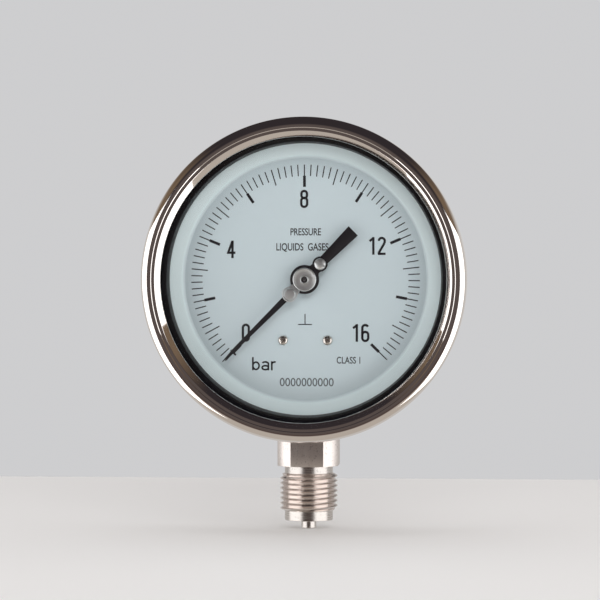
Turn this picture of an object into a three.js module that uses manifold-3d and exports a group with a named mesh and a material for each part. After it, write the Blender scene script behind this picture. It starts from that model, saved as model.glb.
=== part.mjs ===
// Bourdon tube pressure gauge with a bottom connection, 0 to 16 bar, in millimetres.
// Origin: stem axis at the sealing face of the G 1/2 connection. +Z up, dial faces -Y.
import * as THREE from 'three';
import { mergeVertices } from 'three/addons/utils/BufferGeometryUtils.js';
import Module from 'manifold-3d';

const wasm = await Module();
wasm.setup();

// ---------------------------------------------------------------------------------------
// Driving dimensions
// ---------------------------------------------------------------------------------------
const GAP = 0.3; // clearance between pieces that touch on the real gauge

// Connection, upwards from the sealing face
const SPIGOT_RADIUS = 2.7;
const SPIGOT_LENGTH = 3;
const BORE_RADIUS = 1.5;
const SEAL_RADIUS = 8.75;
const THREAD_BOTTOM = 3.4;
const THREAD_TOP = 17.2;
const THREAD_PITCH = 1.814;
const THREAD_MAJOR_RADIUS = 10.4775;
const THREAD_DEPTH = 1.162;
const THREAD_CREST = 0.3;
const THREAD_STEPS_PER_TURN = 12;
const SQUARE_BOTTOM = 20;
const SQUARE_TOP = 37;
const SQUARE_HALF = 11;
const SQUARE_CORNER_RADIUS = 12.5;
const SHANK_HALF = SQUARE_HALF - 0.5; // above the spanner flats, where the square enters the case
const SHANK_CORNER_RADIUS = SQUARE_CORNER_RADIUS - 0.5;

// Gauge head, about a horizontal axis above the stem
const CENTRE_HEIGHT = 88;
const RING_SEGMENTS = 48;
const BEZEL_RADIUS = 58;
const BEZEL_FRONT = -33;
const BEZEL_BACK = -19;
const BEZEL_CROWN_OUTER = 54.6;
const BEZEL_CROWN_INNER = 52.9;
const BEZEL_LIP_RADIUS = 50.9;
const BEZEL_LIP_FRONT = -30.9;
const BEZEL_LIP_BACK = -29.9;
const CASE_RADIUS = 54.5;
const CASE_WALL = 1.2;
const CASE_FRONT = -22;
const CASE_BACK = 17;
const CASE_BACK_ROUND = 4;
const WELD_BOTTOM = CENTRE_HEIGHT - CASE_RADIUS - 2;
const FLATS_TOP = WELD_BOTTOM - GAP;
const WINDOW_RADIUS = 52.5;
const WINDOW_FRONT = -28.5;
const WINDOW_BACK = -25.5;
const SPACER_RADIUS = 49.2;
const PLUG_HEIGHT = 27;
const PLUG_RADIUS = 9;

// Dial
const DIAL_RADIUS = 52;
const DIAL_RIM_FRONT = -20;
const DIAL_FLOOR_FRONT = -18.8;
const DIAL_THICKNESS = 0.8;
const DIAL_STEP_RADIUS = 45;
const DIAL_SCREW_X = 8;
const DIAL_SCREW_Z = -21.9;
const DIAL_HOLE_RADIUS = 3;

// Block inside the case, which carries the tube and the movement
const BLOCK_TOP = 58;
const BLOCK_FRONT = -4;
const BLOCK_BACK = 13;
const MOVEMENT_SCREW_X = 6;
const MOVEMENT_SCREW_Z = -41;

// Bourdon tube, a flat oval section on an arc about the gauge axis
const TUBE_RADIUS = 36;
const TUBE_HALF_WIDTH = 6.5;
const TUBE_HALF_THICKNESS = 2.5;
const TUBE_WALL = 0.8;
const TUBE_CENTRE = 4.5;
const TUBE_ROOT_DEG = -100;
const TUBE_TIP_DEG = -373;
const TUBE_STEPS = 26;

// Movement: two plates, a toothed sector and a pinion
const MODULE_SIZE = 0.4;
const PINION_TEETH = 12;
const SECTOR_TEETH = 108;
const PRESSURE_ANGLE = THREE.MathUtils.degToRad(25);
const TOOTH_THICKNESS_SHARE = 0.88;
const SECTOR_X = 12;
const CENTRE_DISTANCE = (MODULE_SIZE * (PINION_TEETH + SECTOR_TEETH)) / 2;
const SECTOR_Z = -Math.sqrt(CENTRE_DISTANCE ** 2 - SECTOR_X ** 2);
const SECTOR_TO_PINION = Math.atan2(-SECTOR_Z, -SECTOR_X);
const SECTOR_FIRST_TOOTH = -11;
const SECTOR_LAST_TOOTH = 2;
const SECTOR_RIM_RADIUS = 18.4;
const TAIL_LENGTH = 9;
const TAIL_ANGLE = THREE.MathUtils.degToRad(-20);
const BACK_PLATE = [-5.5, -4.3];
const FRONT_PLATE = [-14.5, -13.3];
const GEAR_PLANE = [-9.5, -8.3];
const LINK_PLANE = [-7.6, -6.6];
const TAB_PLANE = [-6.1, -4.9];
const SPRING_PLANE = [-11.9, -10.9];
const PILLARS = [[-12, -26], [17, 8], [-12, 9]];
const PILLAR_RADIUS = 2;
const PIVOT_RADIUS = 0.8;
const BUSH_RADIUS = 2.2;
const PIN_RADIUS = 0.55;
const LINK_HOLE_RADIUS = 1;
const TIP_PIN = [28.5, -9.3];
const TAIL_OFFSET = polar(TAIL_LENGTH, TAIL_ANGLE); // from the sector's pivot to the link
const TAIL_PIN = [SECTOR_X + TAIL_OFFSET[0], SECTOR_Z + TAIL_OFFSET[1]];
const SPRING_TURNS = 4;
const SPRING_RADII = [2.3, 7];
const SPRING_STRIP = 0.3;

// Pointer, drawn pointing along +X and turned to the zero mark
const POINTER_ZERO_DEG = 135;
const CARRIER_PLANE = [-22.6, -22.1];
const BLADE_PLANE = [-23.3, -22.9];
const BADGE_PLANE = [-24, -23.6];
const HUB_PLANE = [-23.9, -22.9];
const HUB_RADIUS = 4.2;
const HUB_SLEEVE_RADIUS = 2;
const CARRIER_RADIUS = 5.2;
const LOBE_RADIUS = 2.75;
const ADJUST_X = -7.8;
const ADJUST_HEAD_RADIUS = 2.1;
const RIVET_X = 7.5;
const RIVET_DISC_RADIUS = 2.5;
const TAIL_END = -24.6;
const TAIL_HALF_START = 1.75;
const TAIL_HALF_END = 2.35;
const BLADE_START = 5.6;
const BLADE_HALF_START = 1.1;
const BLADE_HALF_END = 0.62;
const BLADE_TAPER_X = 36;
const BLADE_TIP = 41.7;

// ---------------------------------------------------------------------------------------
// Materials
// ---------------------------------------------------------------------------------------
function finish(color, roughness, metalness, extra = {}) {
  return new THREE.MeshStandardMaterial({ color, roughness, metalness, ...extra });
}

const materials = {
  polishedSteel: finish(0xd6d6d8, 0.06, 1),
  satinSteel: finish(0xb4b2ae, 0.32, 1),
  machinedSteel: finish(0xa8a6a2, 0.24, 1),
  springSteel: finish(0x8d8f94, 0.2, 1),
  glass: finish(0xffffff, 0.03, 0, { transparent: true, opacity: 0.2 }),
  blackRubber: finish(0x17171a, 0.35, 0),
  dialPaint: finish(0xd7dde2, 0.55, 0),
  pointerPaint: finish(0x121317, 0.4, 0),
};

// ---------------------------------------------------------------------------------------
// Solid helpers
// ---------------------------------------------------------------------------------------

/** Place at a radius and an angle, in a plane. */
function polar(radius, angle) {
  return [radius * Math.cos(angle), radius * Math.sin(angle)];
}

/** Welds the seams of a geometry, drops collapsed triangles and turns its faces outwards. */
function weld(geometry) {
  const bare = geometry.clone();
  bare.deleteAttribute('normal');
  bare.deleteAttribute('uv');
  const merged = mergeVertices(bare, 1e-4);
  const p = merged.attributes.position;
  const [a, b, c] = [new THREE.Vector3(), new THREE.Vector3(), new THREE.Vector3()];
  const kept = [];
  let volume = 0;
  for (let i = 0; i < merged.index.count; i += 3) {
    const [i0, i1, i2] = [0, 1, 2].map((k) => merged.index.getX(i + k));
    if (i0 === i1 || i1 === i2 || i2 === i0) continue;
    kept.push(i0, i1, i2);
    a.fromBufferAttribute(p, i0);
    b.fromBufferAttribute(p, i1);
    c.fromBufferAttribute(p, i2);
    volume += a.dot(b.cross(c));
  }
  merged.setIndex(volume < 0 ? kept.reverse() : kept);
  return merged;
}

function toSolid(geometry) {
  const welded = weld(geometry);
  const vertProperties = new Float32Array(welded.attributes.position.array);
  const triVerts = new Uint32Array(welded.index.array);
  return new wasm.Manifold(new wasm.Mesh({ numProp: 3, vertProperties, triVerts }));
}

function toGeometry(solid) {
  const mesh = solid.getMesh();
  const geometry = new THREE.BufferGeometry();
  geometry.setAttribute('position', new THREE.BufferAttribute(mesh.vertProperties, 3));
  geometry.setIndex(new THREE.BufferAttribute(mesh.triVerts, 1));
  return geometry;
}

function join(...geometries) {
  return toGeometry(geometries.map(toSolid).reduce((sum, solid) => sum.add(solid)));
}

function cut(geometry, ...tools) {
  return toGeometry(tools.map(toSolid).reduce((rest, tool) => rest.subtract(tool), toSolid(geometry)));
}

/** Turned about the Y axis from [radius, y] points. */
function turned(profile, segments = RING_SEGMENTS) {
  return weld(new THREE.LatheGeometry(profile.map(([r, y]) => new THREE.Vector2(r, y)), segments));
}

/** Turned about the Z axis from [radius, z] points. */
function turnedUpright(profile, segments) {
  return turned(profile, segments).rotateX(Math.PI / 2);
}

/** A ring with a rectangular section about the Y axis. */
function ring(inner, outer, [front, back], segments = 12) {
  return turned([[inner, front], [outer, front], [outer, back], [inner, back], [inner, front]], segments);
}

/** A round bar along Y at a place on the face plane. */
function bar(radius, [front, back], [x, z] = [0, 0], segments = 12) {
  const cylinder = new THREE.CylinderGeometry(radius, radius, back - front, segments);
  return cylinder.translate(x, (front + back) / 2, z);
}

/** A plate cut to an outline drawn as seen from the front, between two depths. */
function plate(shape, [front, back], curveSegments = 5) {
  const flat = new THREE.ExtrudeGeometry(shape, { depth: back - front, bevelEnabled: false, curveSegments });
  return flat.rotateX(Math.PI / 2).translate(0, back, 0);
}

function outline(points) {
  return new THREE.Shape(points.map(([x, z]) => new THREE.Vector2(x, z)));
}

function circle(radius, [x, z] = [0, 0]) {
  return new THREE.Path().absarc(x, z, radius, 0, 2 * Math.PI, false);
}

/** Convex outline round circles of one radius, whose centres run counter-clockwise. */
function wrapped(centres, radius) {
  const shape = new THREE.Shape();
  centres.forEach(([x, z], i) => {
    const [lastX, lastZ] = centres.at(i - 1);
    const [nextX, nextZ] = centres[(i + 1) % centres.length];
    const start = Math.atan2(z - lastZ, x - lastX) - Math.PI / 2;
    const end = Math.atan2(nextZ - z, nextX - x) - Math.PI / 2;
    shape.absarc(x, z, radius, start, end, false);
  });
  return shape;
}

/** Part of a ring, seen from the front, between two radii and two angles in degrees. */
function ringPart(inner, outer, fromDeg, toDeg) {
  const [from, to] = [fromDeg, toDeg].map(THREE.MathUtils.degToRad);
  const shape = new THREE.Shape();
  shape.absarc(0, 0, outer, from, to, false);
  shape.absarc(0, 0, inner, to, from, true);
  return shape;
}

/** A flat arc or spiral about the origin, whose radius changes evenly with its angle. */
class SpiralPath extends THREE.Curve {
  constructor(startRadius, endRadius, startAngle, endAngle) {
    super();
    Object.assign(this, { startRadius, endRadius, startAngle, endAngle });
  }

  getPoint(t, target = new THREE.Vector3()) {
    const radius = THREE.MathUtils.lerp(this.startRadius, this.endRadius, t);
    const angle = THREE.MathUtils.lerp(this.startAngle, this.endAngle, t);
    return target.set(radius * Math.cos(angle), radius * Math.sin(angle), 0);
  }
}

// ---------------------------------------------------------------------------------------
// Scene graph
// ---------------------------------------------------------------------------------------
const gauge = new THREE.Group();
const head = new THREE.Group(); // origin on the gauge axis
head.position.z = CENTRE_HEIGHT;
const pointer = new THREE.Group(); // turned to the zero mark
pointer.rotation.y = THREE.MathUtils.degToRad(POINTER_ZERO_DEG);
const sector = new THREE.Group(); // origin on the sector's pivot
sector.position.set(SECTOR_X, 0, SECTOR_Z);
head.add(pointer, sector);
gauge.add(head);

function piece(name, geometry, material, parent = head, [x, z] = [0, 0]) {
  const mesh = new THREE.Mesh(geometry, material);
  mesh.name = name;
  mesh.position.set(x, 0, z);
  parent.add(mesh);
}

// ---------------------------------------------------------------------------------------
// Fasteners
// ---------------------------------------------------------------------------------------

/** A slotted screw along Y, whose head faces the front; the head's back is at depth 0. */
function slottedScrew({ headRadius, headHeight, shankRadius, length, slot = 0.5 }) {
  const edge = 0.15;
  const body = turned([
    [0, -headHeight], [headRadius - edge, -headHeight], [headRadius, edge - headHeight], [headRadius, 0],
    [shankRadius, 0], [shankRadius, length], [0, length],
  ], 10);
  const groove = new THREE.BoxGeometry(headRadius * 3, headHeight, slot).translate(0, -headHeight * 1.1, 0);
  return cut(body, groove);
}

// ---------------------------------------------------------------------------------------
// Socket: connection, wrench square and inner block in one forging
// ---------------------------------------------------------------------------------------

/** Square with its corners turned round, seen along the stem. */
function squareOutline(half, cornerRadius) {
  const corner = Math.acos(half / cornerRadius);
  const shape = new THREE.Shape();
  for (let side = 0; side < 4; side++) {
    const start = (side * Math.PI) / 2 + corner;
    shape.absarc(0, 0, cornerRadius, start, start + Math.PI / 2 - 2 * corner, false);
  }
  return shape;
}

function uprightBar(shape, bottom, top, curveSegments = 4) {
  const depth = top - bottom;
  const upright = new THREE.ExtrudeGeometry(shape, { depth, bevelEnabled: false, curveSegments });
  return upright.translate(0, 0, bottom);
}

/** The thread's ridge: a straight bar, wound round the stem as a right-hand helix. */
function threadRidge() {
  const root = THREAD_MAJOR_RADIUS - THREAD_DEPTH;
  const halfRoot = 0.44 * THREAD_PITCH;
  const section = outline([
    [-GAP, -halfRoot], [THREAD_DEPTH, -THREAD_CREST / 2], [THREAD_DEPTH, THREAD_CREST / 2], [-GAP, halfRoot],
  ]);
  const turns = (THREAD_TOP - THREAD_BOTTOM) / THREAD_PITCH + 1;
  const steps = Math.round(turns * THREAD_STEPS_PER_TURN);
  const ridge = new THREE.ExtrudeGeometry(section, { depth: turns, steps, bevelEnabled: false });
  const p = ridge.attributes.position;
  for (let i = 0; i < p.count; i++) {
    const turn = p.getZ(i);
    const radius = root + p.getX(i);
    const z = THREAD_BOTTOM + p.getY(i) + (turn - 0.5) * THREAD_PITCH;
    p.setXYZ(i, radius * Math.cos(2 * Math.PI * turn), radius * Math.sin(2 * Math.PI * turn), z);
  }
  return ridge;
}

function threadedShank() {
  const root = THREAD_MAJOR_RADIUS - THREAD_DEPTH;
  const shank = turnedUpright([
    [0, -SPIGOT_LENGTH], [SPIGOT_RADIUS, -SPIGOT_LENGTH], [SPIGOT_RADIUS, 0], [SEAL_RADIUS, 0],
    [SEAL_RADIUS, THREAD_BOTTOM], [root, THREAD_BOTTOM + 0.5], [root, THREAD_TOP - 0.5],
    [SEAL_RADIUS, THREAD_TOP], [SEAL_RADIUS, SQUARE_BOTTOM + 1], [0, SQUARE_BOTTOM + 1],
  ], 24);
  const envelope = turnedUpright([
    [0, THREAD_BOTTOM], [SEAL_RADIUS, THREAD_BOTTOM], [THREAD_MAJOR_RADIUS, THREAD_BOTTOM + THREAD_PITCH],
    [THREAD_MAJOR_RADIUS, THREAD_TOP - THREAD_PITCH], [SEAL_RADIUS, THREAD_TOP], [0, THREAD_TOP],
  ], 24);
  const trimmedRidge = toSolid(threadRidge()).intersect(toSolid(envelope));
  return toGeometry(toSolid(shank).add(trimmedRidge));
}

/** Flat oval of the tube's section, with its long side along the gauge axis. */
function ovalShape(halfWidth, halfThickness) {
  const flat = halfWidth - halfThickness;
  const shape = new THREE.Shape();
  shape.absarc(flat, 0, halfThickness, -Math.PI / 2, Math.PI / 2, false);
  shape.absarc(-flat, 0, halfThickness, Math.PI / 2, Math.PI * 1.5, false);
  return shape;
}

function sweptRoundHead(shape, fromDeg, toDeg, steps) {
  const [from, to] = [fromDeg, toDeg].map(THREE.MathUtils.degToRad);
  const extrudePath = new SpiralPath(TUBE_RADIUS, TUBE_RADIUS, from, to);
  const settings = { extrudePath, steps, curveSegments: 2, bevelEnabled: false };
  const swept = new THREE.ExtrudeGeometry(shape, settings);
  return swept.rotateX(Math.PI / 2).translate(0, TUBE_CENTRE, 0);
}

function addSocket() {
  const square = uprightBar(squareOutline(SQUARE_HALF, SQUARE_CORNER_RADIUS), SQUARE_BOTTOM, FLATS_TOP);
  const shank = uprightBar(squareOutline(SHANK_HALF, SHANK_CORNER_RADIUS), FLATS_TOP - 1, SQUARE_TOP);
  const block = new THREE.BoxGeometry(2 * SQUARE_HALF, BLOCK_BACK - BLOCK_FRONT, BLOCK_TOP - SQUARE_TOP + 1);
  block.translate(0, (BLOCK_FRONT + BLOCK_BACK) / 2, (BLOCK_TOP + SQUARE_TOP - 1) / 2);
  const [rootX, rootOffset] = polar(TUBE_RADIUS, THREE.MathUtils.degToRad(TUBE_ROOT_DEG));
  const rootZ = CENTRE_HEIGHT + rootOffset;
  const boreLength = rootZ + SPIGOT_LENGTH + 2;
  const bore = new THREE.CylinderGeometry(BORE_RADIUS, BORE_RADIUS, boreLength, 16);
  bore.rotateX(Math.PI / 2).translate(0, 0, boreLength / 2 - SPIGOT_LENGTH - 1);
  const channel = new THREE.CylinderGeometry(BORE_RADIUS * 0.8, BORE_RADIUS * 0.8, 2 - rootX, 16);
  channel.rotateZ(Math.PI / 2).translate(rootX / 2, 0, rootZ);
  const pocketShape = ovalShape(TUBE_HALF_WIDTH + GAP, TUBE_HALF_THICKNESS + GAP);
  const pocket = sweptRoundHead(pocketShape, TUBE_ROOT_DEG + 0.5, TUBE_ROOT_DEG - 30, 5);
  pocket.translate(0, 0, CENTRE_HEIGHT);
  const screwHeight = CENTRE_HEIGHT + MOVEMENT_SCREW_Z;
  const screwHoles = [-MOVEMENT_SCREW_X, MOVEMENT_SCREW_X].map((x) =>
    bar(1.7, [BLOCK_FRONT - 1, BLOCK_FRONT + 6], [x, screwHeight], 12));
  const forging = join(threadedShank(), square, shank, block);
  piece('socket', cut(forging, bore, channel, pocket, ...screwHoles), materials.machinedSteel, gauge);
}

function addRestrictor() {
  const restrictor = turnedUpright([
    [0.4, -2], [BORE_RADIUS - GAP, -2], [BORE_RADIUS - GAP, 3], [0.4, 3], [0.4, -2],
  ], 16);
  piece('restrictor', restrictor, materials.satinSteel, gauge);
}

/** Weld collar where the shank enters the round case. */
function addWeldCollar() {
  const collar = squareOutline(SQUARE_HALF + 2, SQUARE_CORNER_RADIUS + 2);
  const inside = squareOutline(SHANK_HALF + GAP, SHANK_CORNER_RADIUS + GAP);
  const top = WELD_BOTTOM + 5;
  const solid = cut(
    uprightBar(collar, WELD_BOTTOM, top),
    uprightBar(inside, WELD_BOTTOM - 1, top + 1),
    bar(CASE_RADIUS + GAP, [-30, 30], [0, CENTRE_HEIGHT], 96),
  );
  piece('socket_weld_collar', solid, materials.satinSteel, gauge);
}

// ---------------------------------------------------------------------------------------
// Case, bezel and window
// ---------------------------------------------------------------------------------------

/** Quarter arc between two perpendicular directions, as profile points. */
function arcPoints(centreRadius, centreY, radius, fromDeg, toDeg, steps) {
  return Array.from({ length: steps + 1 }, (_, i) => {
    const angle = THREE.MathUtils.degToRad(THREE.MathUtils.lerp(fromDeg, toDeg, i / steps));
    return [centreRadius + radius * Math.cos(angle), centreY + radius * Math.sin(angle)];
  });
}

function addCase() {
  const inner = CASE_RADIUS - CASE_WALL;
  const roundR = CASE_RADIUS - CASE_BACK_ROUND;
  const roundY = CASE_BACK - CASE_BACK_ROUND;
  const shell = turned([
    [0, CASE_BACK], ...arcPoints(roundR, roundY, CASE_BACK_ROUND, 90, 0, 3), [CASE_RADIUS, CASE_FRONT],
    [inner, CASE_FRONT], ...arcPoints(roundR, roundY, CASE_BACK_ROUND - CASE_WALL, 0, 90, 3),
    [0, CASE_BACK - CASE_WALL],
  ]);
  const entryShape = squareOutline(SHANK_HALF + GAP, SHANK_CORNER_RADIUS + GAP);
  const entry = uprightBar(entryShape, -CASE_RADIUS - 2, -CASE_RADIUS + 10);
  const plugHole = bar(PLUG_RADIUS, [CASE_BACK - 3, CASE_BACK + 1], [0, PLUG_HEIGHT], 24);
  piece('case', cut(shell, entry, plugHole), materials.satinSteel);
}

function addBlowoutPlug() {
  const inside = CASE_BACK - CASE_WALL - GAP;
  const plug = turned([
    [0, inside - 1.2], [PLUG_RADIUS + 1.5, inside - 1.2], [PLUG_RADIUS + 1.5, inside],
    [PLUG_RADIUS - GAP, inside], [PLUG_RADIUS - GAP, CASE_BACK - 0.3], [PLUG_RADIUS - 1, CASE_BACK],
    [0, CASE_BACK],
  ], 24);
  piece('blowout_plug', plug, materials.blackRubber, head, [0, PLUG_HEIGHT]);
}

function addBezel() {
  const pocket = WINDOW_RADIUS + 0.9;
  const shoulder = BEZEL_RADIUS - BEZEL_CROWN_OUTER;
  const bezel = turned([
    [CASE_RADIUS + GAP, BEZEL_BACK], [BEZEL_RADIUS, BEZEL_BACK],
    ...arcPoints(BEZEL_CROWN_OUTER, BEZEL_FRONT + shoulder, shoulder, 0, -90, 4),
    [BEZEL_CROWN_INNER, BEZEL_FRONT], [BEZEL_LIP_RADIUS, BEZEL_LIP_FRONT], [BEZEL_LIP_RADIUS, BEZEL_LIP_BACK],
    [pocket, BEZEL_LIP_BACK], [pocket, CASE_FRONT - GAP], [CASE_RADIUS + GAP, CASE_FRONT - GAP],
    [CASE_RADIUS + GAP, BEZEL_BACK],
  ]);
  piece('bezel_ring', bezel, materials.polishedSteel);
}

function addWindow() {
  const pane = turned([
    [0, WINDOW_FRONT], [WINDOW_RADIUS, WINDOW_FRONT], [WINDOW_RADIUS, WINDOW_BACK], [0, WINDOW_BACK],
  ]);
  piece('window', pane, materials.glass);
  const gasketPlane = [BEZEL_LIP_BACK + GAP, WINDOW_FRONT - GAP];
  const gasket = ring(BEZEL_LIP_RADIUS + 0.4, WINDOW_RADIUS + 0.5, gasketPlane, RING_SEGMENTS);
  piece('window_gasket', gasket, materials.blackRubber);
  const spacerPlane = [WINDOW_BACK + GAP, DIAL_RIM_FRONT - GAP];
  const spacer = ring(SPACER_RADIUS, CASE_RADIUS - CASE_WALL - GAP, spacerPlane, RING_SEGMENTS);
  piece('spacer_ring', spacer, materials.blackRubber);
}

// ---------------------------------------------------------------------------------------
// Dial
// ---------------------------------------------------------------------------------------
function addDial() {
  const [rim, floor, step] = [DIAL_RIM_FRONT, DIAL_FLOOR_FRONT, DIAL_STEP_RADIUS];
  const dish = turned([
    [DIAL_HOLE_RADIUS, floor], [step - 0.5, floor], [step + 0.5, rim], [DIAL_RADIUS, rim],
    [DIAL_RADIUS, rim + DIAL_THICKNESS], [step + 1, rim + DIAL_THICKNESS], [step, floor + DIAL_THICKNESS],
    [DIAL_HOLE_RADIUS, floor + DIAL_THICKNESS], [DIAL_HOLE_RADIUS, floor],
  ]);
  const sides = { left: -DIAL_SCREW_X, right: DIAL_SCREW_X };
  const holes = Object.values(sides).map((x) => bar(1.4, [floor - 1, floor + 2], [x, DIAL_SCREW_Z]));
  piece('dial', cut(dish, ...holes), materials.dialPaint);
  const postPlane = [floor + DIAL_THICKNESS + GAP, FRONT_PLATE[0] - GAP];
  for (const [side, x] of Object.entries(sides)) {
    const screw = slottedScrew({ headRadius: 1.85, headHeight: 0.8, shankRadius: 1.1, length: 3.6 });
    screw.translate(0, floor - GAP, 0);
    piece(`dial_screw_${side}`, screw, materials.machinedSteel, head, [x, DIAL_SCREW_Z]);
    piece(`dial_post_${side}`, ring(1.4, 2.2, postPlane), materials.satinSteel, head, [x, DIAL_SCREW_Z]);
  }
}

// ---------------------------------------------------------------------------------------
// Bourdon tube, its tip and the link
// ---------------------------------------------------------------------------------------
function addTube() {
  const section = ovalShape(TUBE_HALF_WIDTH, TUBE_HALF_THICKNESS);
  section.holes.push(ovalShape(TUBE_HALF_WIDTH - TUBE_WALL, TUBE_HALF_THICKNESS - TUBE_WALL));
  const tube = sweptRoundHead(section, TUBE_ROOT_DEG, TUBE_TIP_DEG, TUBE_STEPS);
  piece('bourdon_tube', tube, materials.satinSteel);
}

function addTubeTip() {
  const capShape = ringPart(TUBE_RADIUS - 3, TUBE_RADIUS + 3, TUBE_TIP_DEG - 8, TUBE_TIP_DEG - 0.5);
  const capWidth = [TUBE_CENTRE - TUBE_HALF_WIDTH, TUBE_CENTRE + TUBE_HALF_WIDTH];
  const knee = polar(TUBE_RADIUS - 0.6, THREE.MathUtils.degToRad(TUBE_TIP_DEG - 4.5));
  const tab = plate(wrapped([TIP_PIN, knee], 2), TAB_PLANE);
  const riser = bar(2, [TAB_PLANE[0], capWidth[0] + 1], knee);
  const tip = cut(join(plate(capShape, capWidth), tab, riser), bar(PIN_RADIUS + GAP, [-8, 0], TIP_PIN, 12));
  piece('tube_tip', tip, materials.satinSteel);
  const pin = pinBetween(LINK_PLANE[0], TAB_PLANE[1]);
  piece('link_pin_tip', pin, materials.machinedSteel, head, TIP_PIN);
}

/** A headed pin along Y that clamps plates between two depths. */
function pinBetween(front, back) {
  const headHeight = 0.5;
  const headRadius = 1.35;
  return turned([
    [0, front - GAP - headHeight], [headRadius, front - GAP - headHeight], [headRadius, front - GAP],
    [PIN_RADIUS, front - GAP], [PIN_RADIUS, back + GAP], [headRadius, back + GAP],
    [headRadius, back + GAP + headHeight], [0, back + GAP + headHeight],
  ], 12);
}

function addLink() {
  const shape = wrapped([TAIL_PIN, TIP_PIN], 1.8);
  shape.holes.push(circle(PIN_RADIUS + GAP, TIP_PIN), circle(LINK_HOLE_RADIUS, TAIL_PIN));
  piece('link', plate(shape, LINK_PLANE), materials.satinSteel);
}

// ---------------------------------------------------------------------------------------
// Movement
// ---------------------------------------------------------------------------------------

/** Involute gear teeth as outline points about the origin. */
function toothPoints(teeth, firstAngle, from, to) {
  const pitchRadius = (MODULE_SIZE * teeth) / 2;
  const baseRadius = pitchRadius * Math.cos(PRESSURE_ANGLE);
  const rootRadius = pitchRadius - 1.1 * MODULE_SIZE;
  const outerRadius = pitchRadius + 0.85 * MODULE_SIZE;
  const involute = (angle) => Math.tan(angle) - angle;
  const halfAtPitch = (TOOTH_THICKNESS_SHARE * Math.PI) / (2 * teeth);
  const halfAngle = (radius) => {
    const angle = Math.acos(Math.min(1, baseRadius / radius));
    return halfAtPitch + involute(PRESSURE_ANGLE) - involute(angle);
  };
  const flank = [rootRadius, (rootRadius + pitchRadius) / 2, pitchRadius, outerRadius];
  const points = [];
  for (let tooth = from; tooth <= to; tooth++) {
    const centre = firstAngle + (tooth * 2 * Math.PI) / teeth;
    const rise = flank.map((radius) => [radius, centre - halfAngle(radius)]);
    const fall = flank.map((radius) => [radius, centre + halfAngle(radius)]).reverse();
    points.push(...rise, ...fall);
  }
  return points.map(([radius, angle]) => polar(radius, angle));
}

function addSector() {
  const spacing = (2 * Math.PI) / SECTOR_TEETH;
  const teeth = toothPoints(SECTOR_TEETH, SECTOR_TO_PINION, SECTOR_FIRST_TOOTH, SECTOR_LAST_TOOTH);
  const start = SECTOR_TO_PINION + (SECTOR_FIRST_TOOTH - 0.5) * spacing;
  const end = SECTOR_TO_PINION + (SECTOR_LAST_TOOTH + 0.5) * spacing;
  const rim = outline(teeth);
  rim.absarc(0, 0, SECTOR_RIM_RADIUS, end, start, true);
  const onRim = (angle) => polar(SECTOR_RIM_RADIUS + 0.9, angle);
  const body = join(
    plate(rim, GEAR_PLANE),
    plate(wrapped([[0, 0], onRim(start + spacing)], 0.9), GEAR_PLANE),
    plate(wrapped([[0, 0], onRim(end - spacing)], 0.9), GEAR_PLANE),
    plate(wrapped([[0, 0], TAIL_OFFSET], 1.7), GEAR_PLANE),
    bar(3, GEAR_PLANE, [0, 0], 24),
  );
  const arborHole = bar(1 + GAP, [-12, -6]);
  const pinHole = bar(PIN_RADIUS + GAP, [-12, -6], TAIL_OFFSET);
  piece('sector_gear', cut(body, arborHole, pinHole), materials.satinSteel, sector);
  const pin = pinBetween(GEAR_PLANE[0], LINK_PLANE[1]);
  piece('link_pin_sector', pin, materials.machinedSteel, sector, TAIL_OFFSET);
  const arbor = pivotedShaft(1, BACK_PLATE[1] - 0.3, FRONT_PLATE[0] + 0.3);
  piece('sector_arbor', arbor, materials.springSteel, sector);
}

/** A shaft along Y, stepped down to a pivot where it runs in the bushes. */
function pivotedShaft(radius, back, front) {
  const [backShoulder, frontShoulder] = [BACK_PLATE[0] - 1.2, FRONT_PLATE[1] + 1.2];
  return turned([
    [0, back], [PIVOT_RADIUS, back], [PIVOT_RADIUS, backShoulder], [radius, backShoulder],
    [radius, frontShoulder], [PIVOT_RADIUS, frontShoulder], [PIVOT_RADIUS, front], [0, front],
  ], 12);
}

function addPinion() {
  const pinionToSector = SECTOR_TO_PINION + Math.PI;
  const halfSpacing = Math.PI / PINION_TEETH;
  const teeth = outline(toothPoints(PINION_TEETH, pinionToSector + halfSpacing, 0, PINION_TEETH - 1));
  const gear = plate(teeth, [GEAR_PLANE[0] - 0.2, GEAR_PLANE[1] + 0.2]);
  const shaft = pivotedShaft(1, BACK_PLATE[1] - 0.3, HUB_PLANE[0] - 0.2);
  piece('pinion_shaft', join(gear, shaft), materials.springSteel);
}

function addHairspring() {
  const startRadius = SPRING_RADII[0];
  const extrudePath = new SpiralPath(...SPRING_RADII, 0, SPRING_TURNS * 2 * Math.PI);
  const [front, back] = SPRING_PLANE;
  const [halfHeight, halfStrip] = [(back - front) / 2, SPRING_STRIP / 2];
  const strip = outline([
    [-halfHeight, -halfStrip], [halfHeight, -halfStrip], [halfHeight, halfStrip], [-halfHeight, halfStrip],
  ]);
  const steps = SPRING_TURNS * 16;
  const spring = new THREE.ExtrudeGeometry(strip, { extrudePath, steps, bevelEnabled: false });
  spring.rotateX(Math.PI / 2).translate(0, (front + back) / 2, 0);
  piece('hairspring', spring, materials.springSteel);
  const collet = ring(1 + GAP, startRadius - halfStrip - GAP, [front - 0.2, back + 0.2], 12);
  piece('hairspring_collet', collet, materials.machinedSteel);
  const studPlace = [SPRING_RADII[1] + halfStrip + GAP + 0.9, 0];
  const stud = bar(0.9, [FRONT_PLATE[1] + GAP, back + 0.4], studPlace, 12);
  piece('hairspring_stud', stud, materials.machinedSteel);
}

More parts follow.
